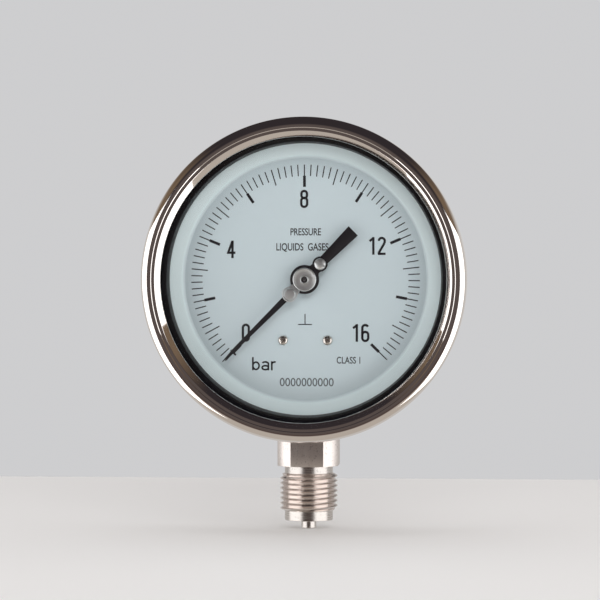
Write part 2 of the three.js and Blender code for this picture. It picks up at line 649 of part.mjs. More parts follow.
function addPlates() {
  const sectorPivot = [SECTOR_X, SECTOR_Z];
  const [lowLeft, highRight, highLeft] = PILLARS;
  const feet = [-1, 1].map((side) => [side * MOVEMENT_SCREW_X, MOVEMENT_SCREW_Z]);
  const plates = {
    front: { plane: FRONT_PLATE, corners: [lowLeft, sectorPivot, highRight, highLeft] },
    back: { plane: BACK_PLATE, corners: [...feet, sectorPivot, highRight, highLeft, lowLeft] },
  };
  for (const [side, { plane, corners }] of Object.entries(plates)) {
    const shape = wrapped(corners, 4);
    PILLARS.forEach((place) => shape.holes.push(circle(1.3, place)));
    [[0, 0], sectorPivot].forEach((place) => shape.holes.push(circle(BUSH_RADIUS + GAP, place)));
    if (side === 'back') feet.forEach((place) => shape.holes.push(circle(1.7, place)));
    piece(`movement_${side}_plate`, plate(shape, plane, 4), materials.satinSteel);
    const bushPlane = side === 'front' ? [plane[0], plane[1] + 0.8] : [plane[0] - 0.8, plane[1]];
    const bush = ring(PIVOT_RADIUS + GAP, BUSH_RADIUS, bushPlane, 12);
    piece(`pinion_bush_${side}`, bush, materials.machinedSteel);
    piece(`sector_bush_${side}`, bush.clone(), materials.machinedSteel, sector);
  }
}

function addPillars() {
  const plateScrew = slottedScrew({ headRadius: 1.9, headHeight: 0.8, shankRadius: 1, length: 4 });
  const backwards = plateScrew.clone().rotateZ(Math.PI);
  PILLARS.forEach((place, i) => {
    const pillar = ring(1.3, PILLAR_RADIUS, [FRONT_PLATE[1] + GAP, BACK_PLATE[0] - GAP]);
    piece(`pillar_${i + 1}`, pillar, materials.satinSteel, head, place);
    const front = plateScrew.clone().translate(0, FRONT_PLATE[0] - GAP, 0);
    piece(`plate_screw_front_${i + 1}`, front, materials.machinedSteel, head, place);
    const back = backwards.clone().translate(0, BACK_PLATE[1] + GAP, 0);
    piece(`plate_screw_back_${i + 1}`, back, materials.machinedSteel, head, place);
  });
}

function addMovementScrews() {
  const screw = slottedScrew({ headRadius: 2.6, headHeight: 1.4, shankRadius: 1.4, length: 7, slot: 0.7 });
  screw.translate(0, BACK_PLATE[0] - GAP, 0);
  for (const [side, sign] of Object.entries({ left: -1, right: 1 })) {
    const place = [sign * MOVEMENT_SCREW_X, MOVEMENT_SCREW_Z];
    piece(`movement_screw_${side}`, screw.clone(), materials.machinedSteel, head, place);
  }
}

// ---------------------------------------------------------------------------------------
// Pointer
// ---------------------------------------------------------------------------------------
function addPointerHub() {
  const [front, back] = HUB_PLANE;
  const hole = PIVOT_RADIUS + GAP;
  const hub = turned([
    [hole, front - 0.5], [1.45, front - 0.5], [1.45, front], [HUB_RADIUS - 0.2, front],
    [HUB_RADIUS, front + 0.2], [HUB_RADIUS, back], [HUB_SLEEVE_RADIUS, back],
    [HUB_SLEEVE_RADIUS, CARRIER_PLANE[1] + 0.8], [hole, CARRIER_PLANE[1] + 0.8], [hole, front - 0.5],
  ], 24);
  piece('pointer_hub', hub, materials.machinedSteel);
}

function addPointer() {
  const adjust = [ADJUST_X, 0];
  const rivet = [RIVET_X, 0];
  const tail = outline([
    [TAIL_END, -TAIL_HALF_END], [ADJUST_X, -TAIL_HALF_START], [0, -TAIL_HALF_START],
    [0, TAIL_HALF_START], [ADJUST_X, TAIL_HALF_START], [TAIL_END, TAIL_HALF_END],
  ]);
  const carrier = cut(
    join(
      plate(tail, CARRIER_PLANE),
      plate(wrapped([[0, 0], rivet], 1.6), CARRIER_PLANE),
      bar(CARRIER_RADIUS, CARRIER_PLANE, [0, 0], 32),
      bar(LOBE_RADIUS, CARRIER_PLANE, adjust, 24),
    ),
    bar(HUB_SLEEVE_RADIUS + GAP, [-24, -20]),
    bar(1.2, [-24, -20], adjust, 12),
    bar(1, [-24, -20], rivet, 12),
  );
  piece('pointer_carrier', carrier, materials.pointerPaint, pointer);

  const bladeShape = outline([
    [BLADE_START, -BLADE_HALF_START], [RIVET_X + 2.6, -BLADE_HALF_START], [BLADE_TAPER_X, -BLADE_HALF_END],
    [BLADE_TIP, -0.1], [BLADE_TIP, 0.1], [BLADE_TAPER_X, BLADE_HALF_END],
    [RIVET_X + 2.6, BLADE_HALF_START], [BLADE_START, BLADE_HALF_START],
  ]);
  const blade = join(plate(bladeShape, BLADE_PLANE), bar(1.9, BLADE_PLANE, rivet));
  piece('pointer_blade', cut(blade, bar(1, [-24, -22], rivet, 12)), materials.pointerPaint, pointer);

  const neck = outline([[HUB_RADIUS + GAP, -1.1], [RIVET_X, -1.8], [RIVET_X, 1.8], [HUB_RADIUS + GAP, 1.1]]);
  const badge = join(plate(neck, BADGE_PLANE), bar(RIVET_DISC_RADIUS, BADGE_PLANE, rivet, 24));
  piece('pointer_clamp_plate', cut(badge, bar(1, [-25, -23], rivet, 12)), materials.machinedSteel, pointer);

  const rivetPin = turned([
    [0, BADGE_PLANE[0] - GAP - 0.3], [1.2, BADGE_PLANE[0] - GAP - 0.2], [1.5, BADGE_PLANE[0] - GAP],
    [0.7, BADGE_PLANE[0] - GAP], [0.7, CARRIER_PLANE[1] + GAP], [1.4, CARRIER_PLANE[1] + GAP],
    [1.2, CARRIER_PLANE[1] + 0.6], [0, CARRIER_PLANE[1] + 0.6],
  ], 16);
  piece('pointer_rivet', rivetPin, materials.machinedSteel, pointer, rivet);

  const screw = slottedScrew({
    headRadius: ADJUST_HEAD_RADIUS, headHeight: 0.7, shankRadius: 0.9, length: 1.6, slot: 0.6,
  });
  screw.translate(0, CARRIER_PLANE[0] - GAP, 0);
  piece('pointer_adjust_screw', screw, materials.machinedSteel, pointer, adjust);
}

addCase();
addBlowoutPlug();
addBezel();
addWindow();
addDial();
addSocket();
addWeldCollar();
addRestrictor();
addTube();
addTubeTip();
addLink();
addPlates();
addPillars();
addMovementScrews();
addSector();
addPinion();
addHairspring();
addPointerHub();
addPointer();

export default gauge;
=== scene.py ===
"""Looks of a dial pressure gauge: polished bezel, printed dial, adjustable pointer and threaded socket."""
import logging
import math
from collections.abc import Callable, Iterable, Sequence
from dataclasses import dataclass
from enum import Enum
from typing import ClassVar

import bmesh
import bpy
from mathutils import Matrix, Vector


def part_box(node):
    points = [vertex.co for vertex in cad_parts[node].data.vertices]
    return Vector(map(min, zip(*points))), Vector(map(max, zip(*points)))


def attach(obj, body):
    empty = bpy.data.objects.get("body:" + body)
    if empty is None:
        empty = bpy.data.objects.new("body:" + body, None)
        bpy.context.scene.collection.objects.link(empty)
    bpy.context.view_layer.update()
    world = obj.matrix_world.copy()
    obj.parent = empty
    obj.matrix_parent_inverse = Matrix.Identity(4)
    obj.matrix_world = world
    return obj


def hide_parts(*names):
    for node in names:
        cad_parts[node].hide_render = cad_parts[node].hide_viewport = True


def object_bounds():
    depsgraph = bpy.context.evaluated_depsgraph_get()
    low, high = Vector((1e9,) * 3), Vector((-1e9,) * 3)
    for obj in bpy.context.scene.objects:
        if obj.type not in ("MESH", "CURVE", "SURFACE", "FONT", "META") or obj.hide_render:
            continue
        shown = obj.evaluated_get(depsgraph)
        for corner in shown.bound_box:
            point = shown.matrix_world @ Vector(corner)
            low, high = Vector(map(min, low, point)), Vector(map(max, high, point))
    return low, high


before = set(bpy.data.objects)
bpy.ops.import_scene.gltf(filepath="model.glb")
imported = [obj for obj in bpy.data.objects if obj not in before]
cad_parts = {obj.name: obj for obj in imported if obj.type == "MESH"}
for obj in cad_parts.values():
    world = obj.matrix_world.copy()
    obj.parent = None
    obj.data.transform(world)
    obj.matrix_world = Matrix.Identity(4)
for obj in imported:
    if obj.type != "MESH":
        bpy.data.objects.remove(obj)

log = logging.getLogger("gauge")
logging.basicConfig(level=logging.INFO, format="%(message)s")

CAD_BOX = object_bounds()
MM = 0.001
CASE_BODY = "case"
FULL_TURN = 2 * math.pi
# Short names of the types that most functions pass round
Point = tuple[float, float]
Colour = Sequence[float]
Value = bpy.types.NodeSocket
Material = bpy.types.Material
Mesh = bmesh.types.BMesh


def span(node: str, axis: int) -> tuple[float, float]:
    """Lowest and highest place of a CAD node along one axis, in millimetres.

    Args:
        node: Name of the CAD node.
        axis: 0, 1 or 2 for X, Y or Z.

    Returns:
        The two ends of the node.
    """
    low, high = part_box(node)
    return low[axis] / MM, high[axis] / MM


def middle(node: str, axis: int) -> float:
    """Middle of a CAD node along one axis, in millimetres."""
    return sum(span(node, axis)) / 2


# Gauge axis, which all round pieces of the head share
CENTRE_Z = middle("bezel_ring", 2)
# Faces round the wide pieces of the head, and round the small turned ones
WIDE_STEPS = 192
SMALL_STEPS = 96
# Room that is left between two faces that would otherwise coincide
TOUCH_GAP = 0.02


class Turning(Enum):
    """Axis that a round piece is turned about."""

    DIAL = (0.0, 1.0, 0.0)
    STEM = (0.0, 0.0, 1.0)


class Grain(Enum):
    """Fine marks that a finish leaves, by their noise's cells per metre, octaves and stretch."""

    NONE = (900.0, 4.0)
    # Rings follow the distance from the gauge axis, so Steel makes their noise
    DIAL_RINGS = ()
    STEM_LINES = (60.0, 5.0, (1.0, 1.0, 60.0))
    UPRIGHT = (60.0, 5.0, (60.0, 60.0, 1.0))


# ---------------------------------------------------------------------------
# Finishes
# ---------------------------------------------------------------------------
@dataclass(frozen=True)
class Nodes:
    """Nodes of one material or of the world."""

    tree: bpy.types.ShaderNodeTree

    def node(self, kind: str, inputs: dict[str | int, Value | float | Colour] | None = None,
             **settings: str) -> bpy.types.ShaderNode:
        """Adds a node.

        Args:
            kind: Kind of node, without the words that all kinds start with.
            inputs: Socket or constant for each input.
            settings: Choices that the node needs before its inputs.

        Returns:
            The node.
        """
        node = self.tree.nodes.new(f"ShaderNode{kind}")
        for name, choice in settings.items():
            setattr(node, name, choice)
        self.feed(node, inputs or {})
        return node

    def feed(self, node: bpy.types.ShaderNode, inputs: dict[str | int, Value | float | Colour]) -> None:
        """Gives a node's inputs their sockets or constants.

        Args:
            node: Node that gets them.
            inputs: Socket or constant for each input.
        """
        for name, value in inputs.items():
            if isinstance(value, Value):
                self.tree.links.new(value, node.inputs[name])
            else:
                node.inputs[name].default_value = value

    def noise(self, scale: float, detail: float = 3.0, stretch: Sequence[float] = (1.0, 1.0, 1.0)) -> Value:
        """Noise over the piece's own coordinates.

        Args:
            scale: Cells per metre.
            detail: Octaves of the noise.
            stretch: Factor on the scale along each axis.

        Returns:
            The noise value's socket.
        """
        place = self.node("TexCoord").outputs["Object"]
        mapping = self.node("Mapping", {"Vector": place, "Scale": stretch})
        noise = self.node("TexNoise", {"Vector": mapping.outputs["Vector"], "Scale": scale, "Detail": detail})
        return noise.outputs["Fac"]

    def ranged(self, value: Value, low: float, high: float, from_low: float = 0.3,
               from_high: float = 0.7) -> Value:
        """Maps a value to a range.

        Args:
            value: Socket to map.
            low: Result at from_low.
            high: Result at from_high.
            from_low: One end of the source.
            from_high: The other end of the source.

        Returns:
            The mapped socket.
        """
        ends = {"From Min": from_low, "From Max": from_high, "To Min": low, "To Max": high}
        return self.node("MapRange", {"Value": value, **ends}).outputs["Result"]

    def mixed(self, share: Value, under: Value | Colour, over: Colour) -> Value:
        """Lays a colour over another one.

        Args:
            share: How much of the upper colour shows.
            under: Lower colour, which may come from a socket.
            over: Upper colour.

        Returns:
            The colour socket.
        """
        below = under if isinstance(under, Value) else (*under, 1.0)
        mix = self.node("Mix", {"Factor": share, "A": below, "B": (*over, 1.0)}, data_type="RGBA")
        return mix.outputs["Result"]

    def product(self, one: Value, other: Value) -> Value:
        """Multiplies two values."""
        return self.node("Math", {0: one, 1: other}, operation="MULTIPLY").outputs["Value"]

    def bumped(self, height: Value, depth: float) -> Value:
        """Turns a height from 0 to 1 into a normal, for marks of a depth in millimetres."""
        bump = self.node("Bump", {"Height": height, "Distance": depth * MM, "Strength": 1.0})
        return bump.outputs["Normal"]

    def from_dial_axis(self) -> tuple[Value, Value]:
        """Distance from the gauge axis and place along it.

        Returns:
            The sockets of the distance and of the place, both in metres.
        """
        place = self.node("TexCoord").outputs["Object"]
        mapping = self.node("Mapping", {"Vector": place, "Location": (0.0, 0.0, -CENTRE_Z * MM)})
        parts = self.node("SeparateXYZ", {"Vector": mapping.outputs["Vector"]}).outputs
        flat = self.node("CombineXYZ", {"X": parts["X"], "Y": parts["Z"]})
        length = self.node("VectorMath", {0: flat.outputs["Vector"]}, operation="LENGTH")
        return length.outputs["Value"], parts["Y"]


def node_material(name: str) -> tuple[Material, Nodes, bpy.types.ShaderNode]:
    """Starts a node material.

    Args:
        name: Name of the material.

    Returns:
        The material, its nodes and its Principled shader.
    """
    material = bpy.data.materials.new(name)
    material.use_nodes = True
    tree = material.node_tree
    return material, Nodes(tree), tree.nodes["Principled BSDF"]


def shade(colour: Colour, factor: float) -> Colour:
    """A colour made lighter or darker by a factor."""
    return tuple(min(1.0, c * factor) for c in colour)


@dataclass(frozen=True)
class Steel:
    """Bare stainless steel, with the fine marks of how it was made, and with pits or a soft unevenness."""

    name: str
    colour: Colour
    roughness: float
    spread: float
    grain: Grain = Grain.NONE
    grain_depth: float = 0.002
    ring_pitch: float = 0.12
    tone: float = 0.06
    pitted: bool = False
    pit_scale: float = 1700.0
    pit_range: Point = (0.58, 0.70)
    pit_shade: float = 0.72
    patch_scale: float = 70.0

    def ring_height(self, nodes: Nodes) -> Value:
        """Height of marks that run round the gauge axis.

        Args:
            nodes: Nodes of the material.

        Returns:
            A height socket from 0 to 1.
        """
        distance, depth = nodes.from_dial_axis()
        rings = nodes.node("CombineXYZ", {"X": distance, "Y": depth}).outputs["Vector"]
        scale = 1.0 / (self.ring_pitch * MM)
        return nodes.node("TexNoise", {"Vector": rings, "Scale": scale, "Detail": 4.0}).outputs["Fac"]

    def make(self) -> Material:
        """Makes the material."""
        material, nodes, shader = node_material(self.name)
        shader.inputs["Metallic"].default_value = 1.0
        marks = self.ring_height(nodes) if self.grain is Grain.DIAL_RINGS else nodes.noise(*self.grain.value)
        if self.pitted:
            share = nodes.ranged(nodes.noise(self.pit_scale, 2.0), 0.0, 1.0, *self.pit_range)
            darker = shade(self.colour, self.pit_shade)
        else:
            share = nodes.ranged(nodes.noise(self.patch_scale, 4.0), 0.0, 1.0)
            darker = shade(self.colour, 1.0 - self.tone)
        nodes.feed(shader, {
            "Base Color": nodes.mixed(share, self.colour, darker),
            "Roughness": nodes.ranged(marks, self.roughness, self.roughness + self.spread),
            "Normal": nodes.bumped(marks, self.grain_depth),
        })
        return material


@dataclass(frozen=True)
class Paint:
    """Sprayed or printed paint, with a faint orange peel and slight unevenness; on the dial it also carries
    painted shade just inside the raised rim and a painted lighter rim.
    """

    name: str
    colour: Colour
    roughness: float
    tone: float
    peel_depth: float = 0.003
    peel_scale: float = 1500.0
    spread: float = 0.04
    patch_scale: float = 35.0
    # Painted light and shade, used on the dial only: a lighter colour laid on the raised rim, and the face
    # darkened just inside it
    rim_painted_light_colour: Colour | None = None
    painted_light_from: float = 43.4
    painted_light_full: float = 44.4
    painted_shade_from: float = 36.5
    painted_shade_factor: float = 0.84

    def make(self) -> Material:
        """Makes the material."""
        material, nodes, shader = node_material(self.name)
        patches = nodes.ranged(nodes.noise(self.patch_scale), 0.0, 1.0)
        colour = nodes.mixed(patches, self.colour, shade(self.colour, 1.0 - self.tone))
        if self.rim_painted_light_colour:
            distance = nodes.from_dial_axis()[0]
            # Painted shade: the face grows darker towards the foot of the raised rim
            painted_shade_share = nodes.ranged(distance, 0.0, 1.0, self.painted_shade_from * MM, self.painted_light_from * MM)
            colour = nodes.mixed(painted_shade_share, colour, shade(self.colour, self.painted_shade_factor))
            # Painted light: the raised rim is laid over in a lighter colour
            rim = nodes.ranged(distance, 0.0, 1.0, self.painted_light_from * MM, self.painted_light_full * MM)
            colour = nodes.mixed(rim, colour, self.rim_painted_light_colour)
        peel = nodes.noise(self.peel_scale, 2.0)
        nodes.feed(shader, {
            "Base Color": colour,
            "Roughness": nodes.ranged(peel, self.roughness - self.spread, self.roughness + self.spread),
            "Normal": nodes.bumped(peel, self.peel_depth),
        })
        return material


@dataclass(frozen=True)
class Rubber:
    """Moulded black rubber, dusty in places."""

    name: str
    colour: Colour
    roughness: float
    dust_shade: float = 1.7
    dust_range: Point = (0.52, 0.75)
    skin_depth: float = 0.004

    def make(self) -> Material:
        """Makes the material."""
        material, nodes, shader = node_material(self.name)
        shader.inputs["Specular IOR Level"].default_value = 0.15
        dust = nodes.ranged(nodes.noise(260.0, 6.0), 0.0, 1.0, *self.dust_range)
        skin = nodes.noise(1800.0)
        nodes.feed(shader, {
            "Base Color": nodes.mixed(dust, self.colour, shade(self.colour, self.dust_shade)),
            "Roughness": nodes.ranged(skin, self.roughness - 0.05, self.roughness + 0.08),
            "Normal": nodes.bumped(skin, self.skin_depth),
        })
        return material


@dataclass(frozen=True)
class PaneGlass:
    """Clear flat glass: each face mirrors a fortieth of the light and lets the rest through."""

    name: str
    mirrored: float = 0.025
    smears: Point = (0.01, 0.06)

    def make(self) -> Material:
        """Makes the material."""
        material, nodes, shader = node_material(self.name)
        shader.inputs["Metallic"].default_value = 1.0
        shader.inputs["Base Color"].default_value = (0.92, 0.96, 0.95, 1.0)
        shader.inputs["Alpha"].default_value = self.mirrored
        nodes.feed(shader, {"Roughness": nodes.ranged(nodes.noise(45.0, 5.0), *self.smears)})
        return material


class Finishes:
    """All finishes of the gauge, each made once."""

    def __init__(self) -> None:
        """Makes the materials."""
        self.polished = Steel("polished_bezel_steel", (0.84, 0.80, 0.77), 0.045, 0.03,
                              Grain.DIAL_RINGS, 0.0003, 0.25, tone=0.03).make()
        self.case = Steel("satin_case_steel", (0.66, 0.65, 0.64), 0.26, 0.12,
                          Grain.DIAL_RINGS, 0.003, 0.18).make()
        self.ground = Steel("ground_flat_steel", (0.74, 0.69, 0.66), 0.32, 0.1,
                            Grain.UPRIGHT, 0.0012, pitted=True).make()
        self.turned = Steel("turned_stem_steel", (0.60, 0.565, 0.535), 0.23, 0.1,
                            Grain.STEM_LINES, 0.0012, pitted=True).make()
        self.thread = Steel("cut_thread_steel", (0.76, 0.70, 0.67), 0.17, 0.08,
                            Grain.STEM_LINES, 0.0008).make()
        self.hub = Steel("turned_hub_steel", (0.86, 0.89, 0.90), 0.38, 0.14,
                         Grain.DIAL_RINGS, 0.002, 0.08).make()
        self.screw = Steel("screw_steel", (0.76, 0.72, 0.67), 0.2, 0.12).make()
        self.inner = Steel("rolled_movement_steel", (0.62, 0.61, 0.59), 0.3, 0.14).make()
        self.spring = Steel("hardened_spring_steel", (0.42, 0.44, 0.48), 0.18, 0.08).make()
        # The dial paint carries a painted lighter rim and painted shade just inside it
        self.dial = Paint("dial_paint", (0.66, 0.77, 0.81), 0.5, 0.03, rim_painted_light_colour=(0.76, 0.89, 0.91)).make()
        self.ink = Paint("dial_ink", (0.010, 0.009, 0.014), 0.55, 0.2, 0.001).make()
        self.grey_ink = Paint("stamp_ink", (0.14, 0.16, 0.17), 0.55, 0.3, 0.001).make()
        self.pointer = Paint("pointer_paint", (0.007, 0.005, 0.009), 0.5, 0.2).make()
        self.seal = Rubber("smooth_black_seal", (0.005, 0.005, 0.007), 0.42).make()
        self.plug = Rubber("matt_black_rubber", (0.02, 0.02, 0.02), 0.55).make()
        self.glass = PaneGlass("window_glass").make()


# ---------------------------------------------------------------------------
# Shaping
# ---------------------------------------------------------------------------
def arc(centre: Point, radius: float, start: float, end: float, steps: int) -> list[Point]:
    """Points on an arc.

    Args:
        centre: Centre of the arc.
        radius: Radius of the arc.
        start: First angle, in degrees.
        end: Last angle, in degrees.
        steps: Number of equal steps.

    Returns:
        The points, from start to end.
    """
    angles = [math.radians(start + (end - start) * i / steps) for i in range(steps + 1)]
    return [(centre[0] + radius * math.cos(a), centre[1] + radius * math.sin(a)) for a in angles]


def corner_angle(one: float, other: float, opposite: float) -> float:
    """Angle in degrees between two sides of a triangle, given the opposite side."""
    return math.degrees(math.acos((one ** 2 + other ** 2 - opposite ** 2) / (2 * one * other)))


def spun(profile: Sequence[Point], turning: Turning = Turning.DIAL, centre: Point = (0.0, 0.0),
         steps: int = 64, closed: bool = False) -> Mesh:
    """A round piece, turned from a profile.

    Args:
        profile: Points of (radius, place along the axis), in millimetres.
        turning: Axis of the piece.
        centre: Place of a DIAL axis relative to the gauge axis, as x and z.
        steps: Faces round the piece.
        closed: True if the last point joins the first.

    Returns:
        The mesh, with its faces outwards.
    """
    bm = bmesh.new()
    along_dial = turning is Turning.DIAL
    origin = Vector((centre[0], 0.0, CENTRE_Z + centre[1])) if along_dial else Vector((0.0, 0.0, 0.0))
    verts = []
    for radius, along in profile:
        offset = Vector((radius, along, 0.0)) if along_dial else Vector((radius, 0.0, along))
        verts.append(bm.verts.new((origin + offset) * MM))
    pairs = list(zip(verts, verts[1:]))
    if closed:
        pairs.append((verts[-1], verts[0]))
    edges = [bm.edges.new(pair) for pair in pairs]
    bmesh.ops.spin(bm, geom=verts + edges, cent=origin * MM, axis=turning.value, angle=FULL_TURN,
                   steps=steps, use_merge=True, use_duplicate=False)
    tidy(bm)
    return bm


def tidy(bm: Mesh) -> None:
    """Welds doubled vertices, drops collapsed faces and turns all faces outwards."""
    bmesh.ops.remove_doubles(bm, verts=bm.verts[:], dist=0.0002 * MM)
    bmesh.ops.dissolve_degenerate(bm, edges=bm.edges[:], dist=0.0001 * MM)
    bmesh.ops.recalc_face_normals(bm, faces=bm.faces[:])


def soften(bm: Mesh, width: float, segments: int = 2, sharper_than: float = 35.0) -> None:
    """Rounds the sharp edges of a mesh.

    Args:
        bm: Mesh to change.
        width: Width of the rounding, in millimetres.
        segments: Faces across the rounding.
        sharper_than: Least angle between faces that counts as sharp, in degrees.
    """
    limit = math.radians(sharper_than)
    sharp = [e for e in bm.edges if len(e.link_faces) == 2 and e.calc_face_angle(0.0) > limit]
    bmesh.ops.bevel(bm, geom=sharp, offset=width * MM, offset_type="OFFSET", segments=segments, profile=0.5,
                    affect="EDGES", clamp_overlap=True, material=-1)


def plate(outline: Sequence[Point], front: float, back: float, centre: Point = (0.0, 0.0),
          rounding: float = 0.06) -> Mesh:
    """A flat piece cut to an outline that is drawn as seen from the front.

    Args:
        outline: Points of (x, z) about the centre, in millimetres.
        front: Place of the front face along Y.
        back: Place of the back face along Y.
        centre: Centre of the outline relative to the gauge axis.
        rounding: Width of the rounded edges.

    Returns:
        The mesh.
    """
    bm = bmesh.new()
    corners = [Vector((x + centre[0], front, z + centre[1] + CENTRE_Z)) * MM for x, z in outline]
    face = bm.faces.new([bm.verts.new(corner) for corner in corners])
    grown = bmesh.ops.extrude_face_region(bm, geom=[face])["geom"]
    moved = [v for v in grown if isinstance(v, bmesh.types.BMVert)]
    bmesh.ops.translate(bm, verts=moved, vec=(0.0, (back - front) * MM, 0.0))
    tidy(bm)
    if rounding:
        soften(bm, rounding)
    return bm


def turned_to(bm: Mesh, degrees: float, centre: Point = (0.0, 0.0)) -> Mesh:
    """Turns a mesh clockwise, as seen from the front, about a DIAL axis.

    Args:
        bm: Mesh to turn.
        degrees: Angle of the turn.
        centre: Axis relative to the gauge axis.

    Returns:
        The same mesh.
    """
    origin = Vector((centre[0], 0.0, CENTRE_Z + centre[1])) * MM
    turn = Matrix.Rotation(math.radians(degrees), 3, "Y")
    bmesh.ops.rotate(bm, verts=bm.verts[:], cent=origin, matrix=turn)
    return bm


def rod(radius: float, low: float, high: float, centre: Point = (0.0, 0.0), steps: int = 64) -> Mesh:
    """A plain round bar along a DIAL axis.

    Args:
        radius: Its radius, in millimetres.
        low: Place of its front end along Y.
        high: Place of its back end along Y.
        centre: Axis relative to the gauge axis.
        steps: Faces round the bar.

    Returns:
        The mesh.
    """
    return spun([(0.0, low), (radius, low), (radius, high), (0.0, high)], centre=centre, steps=steps)


def cut_by(bm: Mesh, tools: Iterable[Mesh]) -> Mesh:
    """Cuts tools out of a mesh.

    Args:
        bm: Closed mesh to cut.
        tools: Closed meshes to take away.

    Returns:
        The cut mesh.
    """
    base = linked_object("work_base", bm)
    helpers = [linked_object(f"work_tool_{i}", tool) for i, tool in enumerate(tools)]
    for helper in helpers:
        modifier = base.modifiers.new(helper.name, "BOOLEAN")
        modifier.operation = "DIFFERENCE"
        modifier.object = helper
        modifier.solver = "EXACT"
    depsgraph = bpy.context.evaluated_depsgraph_get()
    result = bmesh.new()
    result.from_mesh(base.evaluated_get(depsgraph).to_mesh())
    for obj in [base, *helpers]:
        bpy.data.meshes.remove(obj.data)
    bmesh.ops.remove_doubles(result, verts=result.verts[:], dist=0.0005 * MM)
    return result


def linked_object(name: str, bm: Mesh) -> bpy.types.Object:
    """Puts a mesh in the scene as an object at the origin, and frees the bmesh."""
    mesh = bpy.data.meshes.new(name)
    bm.to_mesh(mesh)
    bm.free()
    obj = bpy.data.objects.new(name, mesh)
    bpy.context.scene.collection.objects.link(obj)
    return obj


def add_piece(name: str, bm: Mesh, material: Material,
              body: str = CASE_BODY, replaces: Sequence[str] = (),
              smooth_below: float = 32.0) -> bpy.types.Object:
    """Finishes one visible piece.

    Args:
        name: Name of the piece.
        bm: Its mesh, in place.
        material: Its finish.
        body: Body that it rides on.
        replaces: CAD nodes that it stands for.
        smooth_below: Angle between faces under which they shade as one, in degrees.

    Returns:
        The finished object.
    """
    obj = linked_object(name, bm)
    obj.data.materials.append(material)
    obj.data.polygons.foreach_set("use_smooth", [True] * len(obj.data.polygons))
    obj.data.set_sharp_from_angle(angle=math.radians(smooth_below))
    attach(obj, body)
    if replaces:
        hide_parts(*replaces)
    log.info("piece %s: %d faces on %s", name, len(obj.data.polygons), body)
    return obj


def dress(names: Iterable[str], material: Material) -> None:
    """Gives CAD nodes that stay in view a finish.

    Args:
        names: Names of the CAD nodes.
        material: Their finish.
    """
    for name in names:
        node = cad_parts[name]
        node.data.materials.clear()
        node.data.materials.append(material)
        log.info("dressed %s", name)


# ---------------------------------------------------------------------------
# Head: bezel, case, window
# ---------------------------------------------------------------------------
@dataclass
class Bezel:
    """Bayonet ring, rolled and mirror-polished."""

    finishes: Finishes
    radius: float = span("bezel_ring", 0)[1]
    front: float = span("bezel_ring", 1)[0]
    back: float = span("bezel_ring", 1)[1]
    shoulder: float = 3.0
    step_radius: float = 54.1
    step_depth: float = 0.15
    crown_inner: float = 52.9
    turn_in_round: float = 0.45
    lip_radius: float = 50.9
    lip_front: float = -30.9
    lip_round: float = 0.4
    skirt_chamfer: float = 0.3
    steps: int = 256
    gap: ClassVar[float] = 0.3
    lip_back: float = span("window_gasket", 1)[0] - gap
    case_radius: float = span("case", 0)[1] + gap
    pocket_radius: float = span("window", 0)[1] + 3 * gap
    pocket_back: float = span("case", 1)[0] - gap

    def profile(self) -> list[Point]:
        """Section of the ring, from the back of the skirt round its front to the pocket.

        Returns:
            Points of (radius, y).
        """
        outer = arc((self.radius - self.shoulder, self.front + self.shoulder), self.shoulder, 0, -90, 18)
        low = self.front + self.step_depth
        step = [(self.step_radius + 0.24, self.front), (self.step_radius + 0.12, self.front),
                (self.step_radius - 0.1, low), (self.step_radius - 0.22, low)]
        turn_in = arc((self.crown_inner + 0.15, low + self.turn_in_round), self.turn_in_round, -90, -134, 5)
        lip = arc((self.lip_radius + self.lip_round, self.lip_front + 0.28), self.lip_round, -130, -180, 5)
        skirt = [(self.case_radius, self.back), (self.radius - self.skirt_chamfer, self.back),
                 (self.radius, self.back - self.skirt_chamfer)]
        inside = [(self.lip_radius, self.lip_back), (self.pocket_radius, self.lip_back),
                  (self.pocket_radius, self.pocket_back), (self.case_radius, self.pocket_back)]
        return skirt + outer + step + turn_in + lip + inside

    def build(self) -> None:
        """Makes the ring."""
        bm = spun(self.profile(), steps=self.steps, closed=True)
        add_piece("bezel_polished_ring", bm, self.finishes.polished,
                  replaces=["bezel_ring"], smooth_below=28.0)


